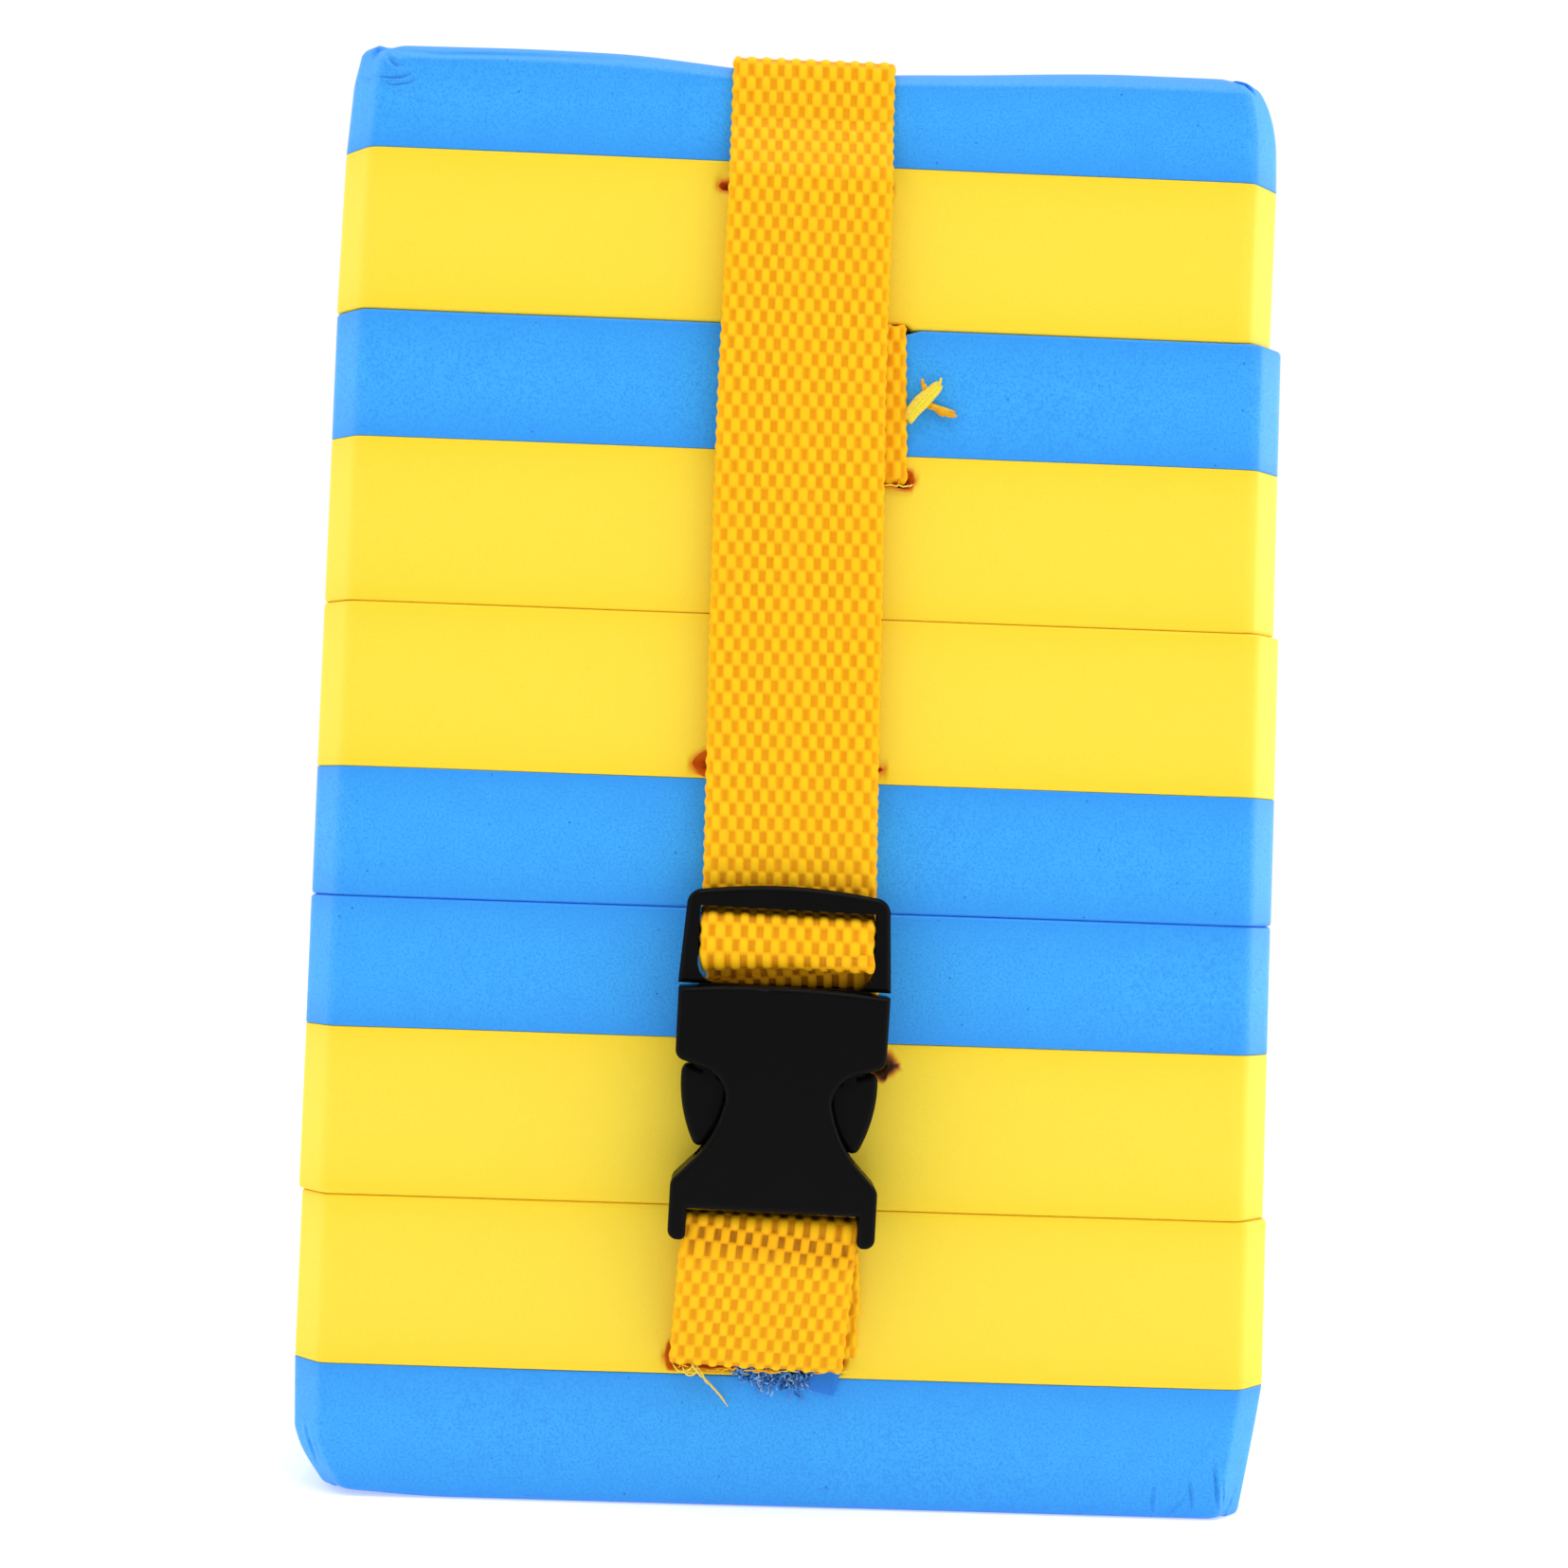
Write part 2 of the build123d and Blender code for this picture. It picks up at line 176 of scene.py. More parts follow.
def soft_noise(points, size, seed=0.0):
    """Smooth noise between -1 and 1 at each point, with bumps about `size` millimetres wide."""
    shift = Vector((seed, seed * 0.7, -seed * 1.3))
    return np.array([noise.noise(Vector(p) / size + shift) for p in points])


# ---------------------------------------------------------------- foam blocks
def grid_lines(low, high, step, fine=(), exact=()):
    """Grid lines from low to high, closer near each (place, reach, step) of fine, and on exact places."""
    lines = [low]
    while lines[-1] < high:
        here = lines[-1]
        spacing = step
        for place, reach, fine_step in fine:
            beyond = max(0.0, abs(here - place) - reach)
            spacing = min(spacing, fine_step + 0.35 * beyond)
        lines.append(here + spacing)
    lines = low + (np.array(lines) - low) * (high - low) / (lines[-1] - low)
    for place in exact:
        lines[1 + np.argmin(abs(lines[1:-1] - place))] = place
    return np.unique(lines)


def foam_shell(xs, ys, zs, tunnel=None):
    """Points and quads on a grid's outside, with a tunnel along Y between the given limits."""
    index, points, faces = {}, [], []

    def quad(*corners):
        for i, j, k in corners:
            if (i, j, k) not in index:
                index[i, j, k] = len(points)
                points.append((xs[i], ys[j], zs[k]))
        faces.append(tuple(index[corner] for corner in corners))

    def across_x(i, j, k):
        quad((i, j, k), (i, j + 1, k), (i, j + 1, k + 1), (i, j, k + 1))

    def across_y(i, j, k):
        quad((i, j, k), (i + 1, j, k), (i + 1, j, k + 1), (i, j, k + 1))

    def across_z(i, j, k):
        quad((i, j, k), (i + 1, j, k), (i + 1, j + 1, k), (i, j + 1, k))

    nx, ny, nz = len(xs) - 1, len(ys) - 1, len(zs) - 1
    open_x, open_z = range(0), range(0)
    if tunnel is not None:
        lines = zip((xs, xs, zs, zs), tunnel)
        left, right, floor, roof = [int(np.argmin(abs(line - place))) for line, place in lines]
        open_x, open_z = range(left, right), range(floor, roof)
    for i in range(nx):
        for k in range(nz):
            if i in open_x and k in open_z:
                continue
            for j in (0, ny):
                across_y(i, j, k)
        for j in range(ny):
            for k in (0, nz):
                across_z(i, j, k)
    for j in range(ny):
        for k in range(nz):
            for i in (0, nx):
                across_x(i, j, k)
        for i in open_x:
            for k in (open_z.start, open_z.stop):
                across_z(i, j, k)
        for k in open_z:
            for i in (open_x.start, open_x.stop):
                across_x(i, j, k)
    return np.array(points), faces


def chamfer_corners(points, low, high):
    """Bring the four upright corners of a box in to soft chamfers."""
    from_side = np.minimum(points[:, 0] - low[0], high[0] - points[:, 0])
    from_face = np.minimum(points[:, 1] - low[1], high[1] - points[:, 1])
    near = np.minimum(from_side, from_face)
    far = np.maximum(from_side, from_face)
    short = CHAMFER - (far - near)
    push = 0.5 * (short + np.sqrt(short**2 + CHAMFER_SOFTNESS**2)) - 0.5 * CHAMFER_SOFTNESS * 0.12
    push = 0.5 * np.clip(push, 0, None) * np.clip(1 - near / (2 * CHAMFER), 0, 1)
    push *= smooth_step((3 * CHAMFER - far) / CHAMFER)
    for n in (0, 1):
        points[:, n] -= push * np.sign(points[:, n] - (low[n] + high[n]) / 2)


def round_rims(points, outline, low, high, low_round, high_round, power):
    """Round the lower and upper rim: power 2 is a quarter circle, and nearer 1 is flatter, like a bevel."""
    distance, way_x, way_y = outline
    for level, full_radius, up in ((low[2], low_round, 1), (high[2], high_round, -1)):
        radius = full_radius * (1 - 0.62 * smooth_step(abs(way_x) / 0.9) * (full_radius > 1))
        from_level = (points[:, 2] - level) * up
        into = np.clip(radius - distance, 0, radius)
        below = np.clip(radius - from_level, 0, radius)
        length = (into**power + below**power) ** (1 / power)
        outside = (into > 0) & (below > 0) & (length > radius)
        cut = np.where(outside, 1 - radius / np.maximum(length, 1e-9), 0.0)
        points[:, 0] -= into * cut * way_x
        points[:, 1] -= into * cut * way_y
        points[:, 2] += below * cut * up


def side_outline(points, low, high):
    """Each point's distance from the block's sides, and the direction straight out from them."""
    x, y = points[:, 0], points[:, 1]
    gaps = np.stack([x - low[0], high[0] - x, y - low[1], high[1] - y])
    ways = np.array([(-1, 0), (1, 0), (0, -1), (0, 1)], float)
    weights = np.exp(-gaps / 0.6)
    weights = weights / np.maximum(weights.sum(0), 1e-30)
    out = weights.T @ ways
    out /= np.maximum(np.linalg.norm(out, axis=1), 1e-9)[:, None]
    return gaps.min(0), out[:, 0], out[:, 1]


def open_slot(points, number, height, joint):
    """Shape the slot's mouth: a slit with rounded lips and rounder ends."""
    slot = SLOTS[number]
    from_end = slot["half"] - abs(points[:, 0] - slot["x"])
    above = points[:, 2] - SLOT_Z[number]
    end = np.where(points[:, 0] < slot["x"], slot["left"], slot["right"])
    gape = smooth_step(1 - (from_end - slot["close"]) / GAPE_REACH)
    opening = slot["height"] + (end - slot["height"]) * gape
    closed = np.clip(1 - from_end / slot["close"], 0, 1)
    opening *= np.clip(1 - closed ** slot["power"], 0.0004, 1) ** (1 / slot["power"])
    beyond = np.clip(abs(above) - height / 2, 0, None)
    towards_joint = -1 if SLOT_Z[number] > joint else 1
    room = np.clip(abs(points[:, 2] - joint) / (slot["gap"] - height / 2), 0, 1)
    room = np.where(above * towards_joint > 0, smooth_step(room), 1.0)
    ease = np.exp(-beyond / 2.2) * room
    deep = np.minimum(points[:, 1] - FRONT_Y, BACK_Y - points[:, 1])
    in_tunnel = (from_end > -0.01) & (abs(above) < height / 2 + 0.01)
    narrowing = smooth_step((deep - 0.4) / SLOT_NARROWS) * in_tunnel
    opening += (slot["height"] * 0.85 - opening) * narrowing
    belt_half = WEB_WIDTH / 2 + 0.1
    middle = slot["x"] + (slot["run"] - slot["x"]) * narrowing
    spread = 1 + (belt_half / slot["half"] - 1) * narrowing
    points[:, 0] = middle + (points[:, 0] - slot["x"]) * spread
    inside = smooth_step(1 + from_end / 4.0)
    change = (opening - height) / 2 * ease * inside
    points[:, 2] += change * np.sign(above) * np.clip(abs(above) / (height / 2), 0, 1)
    in_front = points[:, 1] < FRONT_Y + 1e-3
    in_back = points[:, 1] > BACK_Y - 1e-3
    lip = np.exp(-((beyond / 0.8) ** 2)) * smooth_step(1 + from_end / 0.9) * (0.3 + 0.7 * room)
    points[:, 1] += np.where(in_front, 0.6 * lip, 0) - np.where(in_back, 0.6 * lip, 0)


DARK_SPOT_X, DARK_SPOT_WIDE, DARK_SPOT_HIGH = 17.7, 2.1, 2.3  # the dark spot at the right end of slot 4


def slot_colouring(points, number):
    """How orange each point is in and round the slot, and how dark: painted shade deeper in its tunnel, and
    for slot 4 a dark spot beside its right end.
    """
    slot = SLOTS[number]
    along = abs(points[:, 0] - slot["x"]) - slot["half"]
    above = abs(points[:, 2] - SLOT_Z[number]) - SLOT_GRID
    reach = np.hypot(np.clip(along, 0, None), np.clip(above, 0, None))
    deep = np.minimum(points[:, 1] - FRONT_Y, BACK_Y - points[:, 1])
    rough = 1 + 0.5 * soft_noise(points, 1.3, number)
    # Orange along the slot's mouth and over its tunnel's walls.
    rim = 0.75 * np.exp(-((reach * rough / 0.45) ** 2))
    slot_orange = np.where((deep > 0.3) & (reach < 0.01), 1.0, rim)
    # Painted shade: inside the tunnel the colour darkens the deeper it lies in the foam.
    shade_and_spot = np.where(reach < 0.01, 0.85 * smooth_step((deep - 2.0) / 6.0), 0.0)
    # A dark spot beside the right end of slot 4, with orange round it.
    if number == 4:
        aside = (points[:, 0] - DARK_SPOT_X) / DARK_SPOT_WIDE
        off = np.hypot(aside, (points[:, 2] - SLOT_Z[4] + 0.1) / DARK_SPOT_HIGH)
        off *= 1 + 0.2 * soft_noise(points, 1.6, 4.0)
        in_front = points[:, 1] < FRONT_Y + 40
        slot_orange = np.maximum(slot_orange, smooth_step((1.5 - off) / 0.7) * in_front)
        shade_and_spot = np.maximum(shade_and_spot, 0.97 * smooth_step((1.35 - off) / 0.6) * in_front)
    return slot_orange, shade_and_spot


def bend_creases(points, creases):
    """Press thin creases into the front: each is (points as x and z, depth, width)."""
    front = smooth_step(1 - (points[:, 1] - FRONT_Y) / 12.0)
    for line, depth, width in creases:
        line = np.array(line, float)
        nearest = np.full(len(points), 1e9)
        share = np.zeros(len(points))
        for number, (start, end) in enumerate(zip(line[:-1], line[1:])):
            run = end - start
            offset = points[:, (0, 2)] - start
            t = np.clip(offset @ run / (run @ run), 0, 1)
            gap = np.linalg.norm(offset - t[:, None] * run, axis=1)
            share = np.where(gap < nearest, (number + t) / (len(line) - 1), share)
            nearest = np.minimum(nearest, gap)
        fade = np.sin(math.pi * np.clip(share, 0.04, 0.96))
        shape = np.exp(-((nearest / width) ** 2)) - 0.45 * np.exp(-(((nearest - 2.2 * width) / width) ** 2))
        points[:, 1] += depth * fade * shape * front


# Creases pressed into the outer corners of the top and bottom blocks: x and z of each, depth and width.
TOP_CREASES = [
    ([(-84.6, 255.9), (-82.2, 254.4), (-79.8, 254.2)], 0.42, 0.26),
    ([(-82.6, 255.2), (-79.0, 254.2), (-76.0, 254.4), (-73.6, 255.6)], 0.5, 0.27),
    ([(-81.0, 253.8), (-77.6, 253.0), (-74.8, 253.4), (-72.2, 254.8)], 0.4, 0.26),
    ([(-79.2, 258.9), (-78.6, 257.6), (-77.4, 256.6), (-75.4, 256.5)], 0.45, 0.36),
    ([(-77.6, 251.7), (-74.0, 251.8), (-70.6, 253.2)], 0.16, 0.4),
    ([(-77.4, 259.4), (-70.0, 259.0), (-62.0, 259.4), (-50.0, 259.6), (-34.0, 259.4)], 0.3, 0.45),
]
BOTTOM_CREASES = [
    ([(78.4, 11.4), (79.0, 6.0), (79.4, 1.2)], 0.55, 0.27),
    ([(80.0, 7.4), (80.4, 4.6), (80.4, 2.4)], 0.25, 0.26),
    ([(73.9, 8.0), (74.5, 4.6), (74.8, 1.0)], 0.45, 0.27),
    ([(67.9, 6.4), (67.7, 3.6), (67.5, 0.7)], 0.36, 0.26),
    ([(72.6, 8.2), (75.4, 11.0), (78.0, 14.2), (79.6, 18.5)], 0.2, 0.45),
    ([(70.4, 0.9), (71.8, 2.2), (73.6, 4.0)], 0.3, 0.3),
    ([(80.6, 1.1), (82.0, 2.3), (82.8, 4.4)], 0.3, 0.3),
    ([(60.0, 2.6), (56.5, 1.6), (53.0, 0.9)], 0.18, 0.4),
    ([(-83.6, 12.6), (-82.9, 9.6), (-81.7, 6.6), (-81.0, 4.6)], 0.5, 0.32),
]


def squeeze_top_block(points, low, high):
    """The belt over the top block draws its corners in and leaves a shallow dent under itself."""
    x, z = points[:, 0].copy(), points[:, 2].copy()
    height = np.clip((z - low[2]) / (high[2] - low[2]), 0, 1)
    from_left = x - low[0]
    from_right = high[0] - x
    near_top = smooth_step((z - high[2] + 7.0) / 7.0)
    points[:, 0] += (1.0 * height + 0.8 * near_top) * smooth_step(1 - from_left / 34.0)
    drop = np.clip((z - high[2] + 12.0) / 12.0, 0, 1)
    sweep = 1 - np.sqrt(np.clip(1 - drop**2, 0, 1))
    points[:, 0] -= (0.8 * height + 5.4 * sweep) * smooth_step(1 - from_right / 17.0)
    top = height**2
    crown = 1.3 * smooth_step((-14 - x) / 24.0) + 0.4 * np.exp(-(((x + 52) / 20.0) ** 2))
    crown += 1.7 * smooth_step((x - 14) / 44.0)
    dent = 0.5 * np.exp(-(((x - BELT_X) / 16.0) ** 4))
    points[:, 2] += (crown - dent) * top


def squash_bottom_block(points, low, high):
    """The lowest block's corners are worn in: rounded on the left, slanting on the right."""
    x, z = points[:, 0].copy(), points[:, 2].copy()
    above = z - low[2]
    depth = np.clip(1 - above / (high[2] - low[2]), 0, 1)
    bite = np.clip(1 - above / 11.0, 0, 1)
    points[:, 0] += (0.9 * depth + 5.0 * bite**1.4) * smooth_step(1 - (x - low[0]) / 26.0)
    points[:, 0] -= 3.9 * depth**1.1 * smooth_step(1 - (high[0] - x) / 30.0)
    left_foot = smooth_step((-56.0 - x) / 30.0) * smooth_step(1 - above / 8.0)
    points[:, 2] += 0.9 * left_foot


def press_belt_groove(points, level):
    """Where the belt slips between two blocks, the foam gives way round it."""
    x = points[:, 0]
    across = smooth_step((16.9 - abs(x - 2.0)) / 1.5)
    away = points[:, 2] - level
    side = 1 if away.mean() > 0 else -1
    points[:, 2] += side * 0.85 * across * np.exp(-abs(away) / 5.0)


def layer_grid(node, low, high, tunnel):
    """Grid lines of a layer: closer at its rims, round its slot and where its corners are creased."""
    rims = ((0, 1.5, 0.35), (1, 1.5, 0.35), (2, 0.6, 0.22))
    fine_x, fine_y, fine_z = [[(low[n], reach, step), (high[n], reach, step)] for n, reach, step in rims]
    exact_x, exact_z = (), ()
    if tunnel is not None:
        exact_x, exact_z = tunnel[:2], tunnel[2:]
        fine_x += [(place, 4.5, 0.32) for place in exact_x]
        fine_y += [(low[1], 5.0, 0.6), (high[1], 5.0, 0.6)]
        fine_z += [(exact_z[0] + SLOT_GRID, 3.4, 0.32)]
    if node == "block_1_blue":
        fine_x += [(-76, 10, 0.26)]
        fine_z += [(256, 6, 0.3)]
    if node == "block_5_blue":
        fine_x += [(74, 14, 0.26), (-82, 4, 0.3)]
        fine_z += [(8, 9, 0.4)]
    return (
        grid_lines(low[0], high[0], 2.6, fine_x, exact_x),
        grid_lines(low[1], high[1], 5.0, fine_y),
        grid_lines(low[2], high[2], 1.6, fine_z, exact_z),
    )


def shape_layer(points, number, colour, low, high):
    """Give a layer its chamfers, rounds, squeezed corners and creases."""
    other = "yellow" if colour == "blue" else "blue"
    is_low = low[2] < node_box(f"block_{number}_{other}")[0][2]
    highest = number == 1 and colour == "blue"
    lowest = number == 5 and colour == "blue"
    low_round, high_round = (JOINT_ROUND, LAMINATION_ROUND) if is_low else (LAMINATION_ROUND, JOINT_ROUND)
    low_round = FOOT_ROUND if lowest else low_round
    high_round = TOP_ROUND if highest else high_round
    outline = side_outline(points, low, high)
    if colour == "yellow":
        open_slot(points, number, 2 * SLOT_GRID, high[2] if is_low else low[2])
    chamfer_corners(points, low, high)
    round_rims(points, outline, low, high, low_round, high_round, 1.3 if highest else 2.0)
    if abs(low[2] - GAP_Z) < 0.01 or abs(high[2] - GAP_Z) < 0.01:
        press_belt_groove(points, GAP_Z)
    if highest:
        squeeze_top_block(points, low, high)
    if lowest:
        squash_bottom_block(points, low, high)
    bend_creases(points, TOP_CREASES if highest else (BOTTOM_CREASES if lowest else []))
    if number == 1:
        points[:, 0] += TOP_BLOCK_SKEW * (points[:, 2] - STACK_TOP) / (STACK_TOP - GAP_Z)
    sway = soft_noise(points, 38.0, number + (5 if colour == "yellow" else 0))
    points[:, 1] += 0.18 * sway * smooth_step(1 - outline[0] / 3)


def foam_layer(number, colour):
    """One foam layer as a soft closed shell in the place of its CAD node."""
    node = f"block_{number}_{colour}"
    low, high = node_box(node)
    low[0] += BLOCK_SHIFT[number]
    high[0] += BLOCK_SHIFT[number]
    tunnel = None
    if colour == "yellow":
        middle, half = SLOTS[number]["x"], SLOTS[number]["half"]
        floor, roof = SLOT_Z[number] - SLOT_GRID, SLOT_Z[number] + SLOT_GRID
        tunnel = (middle - half, middle + half, floor, roof)
    points, faces = foam_shell(*layer_grid(node, low, high, tunnel), tunnel)
    slot_orange, shade_and_spot = np.zeros(len(points)), np.zeros(len(points))
    if colour == "yellow":
        slot_orange, shade_and_spot = slot_colouring(points, number)
    from_rim = np.minimum(points[:, 2] - low[2], high[2] - points[:, 2])
    shape_layer(points, number, colour, low, high)
    attributes = {"slot_orange": slot_orange, "shade_and_spot": shade_and_spot, "rim": np.exp(-np.clip(from_rim, 0, None) / 4.0)}
    piece = mesh_object(f"foam_{number}_{colour}", points, faces, attributes)
    piece.data.materials.append(foam_material(colour))
    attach(piece, "root")
    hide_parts(node)


# ---------------------------------------------------------------- belt
def front_point(x, out, z, lean=0.0):
    """A point of the belt's route as x, y, z and the sideways lean of the webbing there in radians."""
    return (x, FRONT_Y - out, z, lean)


def buckle_point(out, along, across=0.0):
    """A point of the route given along the leaning buckle, from its mouth."""
    x = BUCKLE_X + across * math.cos(BUCKLE_LEAN) + along * math.sin(BUCKLE_LEAN)
    z = MOUTH_Z - across * math.sin(BUCKLE_LEAN) + along * math.cos(BUCKLE_LEAN)
    return front_point(x, out, z, BUCKLE_LEAN)


def rounded_route(route, radius):
    """The route with its corners turned into arcs, as dense rows of x, y, z, lean."""
    route = np.array(route, float)
    rows = [route[0]]
    for before, corner, after in zip(route[:-2], route[1:-1], route[2:]):
        way_in = corner[:3] - before[:3]
        way_out = after[:3] - corner[:3]
        shorter = min(np.linalg.norm(way_in), np.linalg.norm(way_out))
        start = way_in / np.linalg.norm(way_in)
        end = way_out / np.linalg.norm(way_out)
        turn = math.acos(max(-1.0, min(1.0, float(start @ end))))
        if turn < 0.02:
            rows.append(corner)
            continue
        reach = min(radius * math.tan(turn / 2), 0.48 * shorter)
        steps = max(3, int(math.degrees(turn) / 9))
        for step in range(steps + 1):
            t = step / steps
            bezier = (1 - t) ** 2 * (corner[:3] - start * reach)
            bezier = bezier + 2 * t * (1 - t) * corner[:3] + t**2 * (corner[:3] + end * reach)
            rows.append(np.append(bezier, corner[3]))
    rows.append(route[-1])
    return np.array(rows)


def weave_height(across, along):
    """Height of the weave and how much painted shade each place gets, most in its hollows. Both arguments in
    millimetres.
    """
    warp = across / WARP_PITCH
    row = along / ROW_PITCH
    a = 2 * (warp - np.floor(warp)) - 1
    b = 2 * (row - np.floor(row)) - 1
    over = (np.floor(warp) + np.floor(row)) % 2 == 0
    float_top = 0.30 * (1 - 0.5 * a**2) * (1 - 0.75 * b**4)
    hollow = smooth_step((1.15 - abs(a)) / 0.4) * smooth_step((1.05 - abs(b)) / 0.4)
    weft = 0.16 - 0.2 * hollow
    height = np.where(over, float_top, weft)
    # Painted shade: dark in the hollows where the weft dips, and at the edges of each float.
    pit = np.where(over, 0.10 * a**4 + 0.2 * b**6, 0.2 + 0.52 * hollow + 0.12 * b**4)
    return height, pit


def strap_frame(route, radius, coarse_inside):
    """Stations along a strap with the place, the way across it and the way out of its face at each."""
    path = rounded_route(route, radius)
    steps = np.linalg.norm(np.diff(path[:, :3], axis=0), axis=1)
    lengths = np.concatenate([[0], np.cumsum(steps)])

    def at(where):
        return np.stack([np.interp(where, lengths, column) for column in path.T], axis=1)

    stations = [0.0]
    while stations[-1] < lengths[-1]:
        y = np.interp(stations[-1] + STATION_STEP * 0.5, lengths, path[:, 1])
        hidden = coarse_inside and FRONT_Y + 9 < y < BACK_Y - 9
        stations.append(stations[-1] + (HIDDEN_STEP if hidden else STATION_STEP))
    stations = np.clip(np.array(stations), 0, lengths[-1])
    place = at(stations)
    tangent = (at(stations + 0.2) - at(stations - 0.2))[:, :3]
    tangent /= np.linalg.norm(tangent, axis=1)[:, None]
    width_way = np.stack([np.cos(place[:, 3]), np.zeros(len(place)), -np.sin(place[:, 3])], axis=1)
    width_way -= (width_way * tangent).sum(1)[:, None] * tangent
    width_way /= np.linalg.norm(width_way, axis=1)[:, None]
    return stations, place[:, :3], width_way, np.cross(tangent, width_way)


def strap_columns():
    """Places across a strap all the way round it, and their level: 1 on one face and -1 on the other."""
    half = WEB_WIDTH / 2 - SELVEDGE
    face = np.linspace(-half, half, WARPS * 4 + 1)
    edge = half + np.array([0.30, SELVEDGE, 0.30])
    edge_level = np.array([0.62, 0.0, -0.62])
    flat = np.ones(len(face))
    across = np.concatenate([face, edge, face[::-1], -edge])
    return across, np.concatenate([flat, edge_level, -flat, -edge_level])


def webbing(name, route, radius, side=1, start_length=0.0, coarse_inside=False, bar_shade_heights=()):
    """A woven strap along a route, with painted shade in its weave, and more painted shade at the height of
    each bar that it bends round.
    """
    stations, place, width_way, normal = strap_frame(route, radius, coarse_inside)
    across, level = strap_columns()
    along = stations + start_length
    grid_across, grid_along = np.meshgrid(across + WEB_WIDTH / 2, along)
    height, pit = weave_height(grid_across, grid_along)
    on_face = abs(level) > 0.9
    height = np.where(on_face, height, 0.1)
    pit = np.where(on_face, pit, 0.35)
    # The selvedges are thicker, get less painted weave shade, and are scalloped by the weft that turns back
    # round them.
    selvedge = np.exp(-(((WEB_WIDTH / 2 - abs(across)) / 0.9) ** 2))
    scallop = np.cos(2 * math.pi * grid_along / ROW_PITCH)
    height = height * (1 - 0.5 * selvedge) + 0.10 * selvedge
    pit = pit * (1 - 0.55 * selvedge) + 0.10 * selvedge
    # Painted shade: in front of the foam the weave darkens near the height of each bar, where the buckle
    # shades the strap.
    for bar in bar_shade_heights:
        pit = pit + 0.32 * np.exp(-(((place[:, 2:3] - bar) / 3.4) ** 2)) * (place[:, 1:2] < FRONT_Y)
    outward = level * (WEB / 2 - 0.22) + np.sign(level) * height * on_face
    widening = 1 + SPREAD / WEB_WIDTH * smooth_step((STACK_TOP - 15 - place[:, 2:3]) / 90)
    widening = np.where(place[:, 1:2] < FRONT_Y - 1.6, widening, 1.0)
    sideways = across * widening + np.sign(across) * selvedge * 0.13 * scallop
    points = place[:, None] + sideways[:, :, None] * width_way[:, None]
    points = points + outward[:, :, None] * (side * normal)[:, None]
    faces = tube_faces(len(stations), len(across))
    uvs = np.stack([grid_across.ravel() * MM, grid_along.ravel() * MM], axis=1)
    piece = mesh_object(name, points.reshape(-1, 3), faces, {"pit": pit.ravel()}, uvs)
    piece.data.materials.append(webbing_material())
    return piece, along[-1]


def belt_front():
    """From the top slot down to the buckle, round its bar, back up the front and over the top."""
    back_out = -DEPTH - WEB / 2
    route = [
        front_point(BELT_X, -14.0, SLOT_Z[1]),
        front_point(BELT_X, STANDING_OUT, SLOT_Z[1]),
        front_point(BELT_X - 0.4, STANDING_OUT, 200.0),
        front_point(BELT_X - 0.1, STANDING_OUT, 150.0),
        buckle_point(STANDING_OUT, 15.5, 0.3),
        buckle_point(STANDING_OUT, 9.0, 1.0),
        buckle_point(STANDING_OUT, 0.2, 1.5),
        buckle_point(3.5, 0.2, 1.5),
        buckle_point(4.3, 3.3, 1.1),
        buckle_point(8.85, 3.55, 0.1),
        buckle_point(8.85, 11.4),
        buckle_point(6.2, 11.9),
        buckle_point(TAIL_OUT, 12.7),
        buckle_point(TAIL_OUT, 16.0),
        front_point(-1.35, TAIL_OUT, 150.0),
        front_point(-1.85, TAIL_OUT, 200.0),
        front_point(-1.45, TAIL_OUT, SLOT_Z[1] + 1.5),
        front_point(-1.5, WEB / 2, SLOT_Z[1] + 12),
        front_point(-1.5, WEB / 2, STACK_TOP + WEB / 2 - 0.5),
        front_point(BELT_X, -14.0, STACK_TOP + WEB / 2 - 0.4),
        front_point(BELT_X, back_out + 14.0, STACK_TOP + WEB / 2 - 0.4),
        front_point(BELT_X, back_out, STACK_TOP + WEB / 2 - 0.9),
        front_point(BELT_X, back_out, TAIL_CUT_Z),
    ]
    # Painted shade darkens the strap at the height of each buckle bar here.
    bar_shade_heights = (MOUTH_Z + 1.2, MOUTH_Z + 14.6)
    piece, end_length = webbing("belt_front", route, 1.9, bar_shade_heights=bar_shade_heights)
    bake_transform(piece)
    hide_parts("belt_standing_run", "belt_tail_run", "belt_adjuster_turn")
    return end_length


def belt_tail(start_length):
    """The free end: down the back, with its hem folded out and sewn."""
    lying = -DEPTH - WEB / 2
    hanging = -DEPTH - 1.5 * WEB - 0.1
    folded = hanging - WEB - 0.05
    route = [
        front_point(BELT_X, lying, TAIL_CUT_Z),
        front_point(BELT_X, lying, 246.5),
        front_point(BELT_X, hanging, 238.5),
        front_point(BELT_X + 0.3, hanging, TAIL_FOOT + 0.8),
        front_point(BELT_X + 0.3, folded, TAIL_FOOT + 0.8),
        front_point(BELT_X + 0.2, folded, TAIL_FOOT + HEM),
    ]
    piece, _ = webbing("belt_tail", route, 0.9, start_length=start_length)
    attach(piece, "root")
    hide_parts("belt_tail_end")


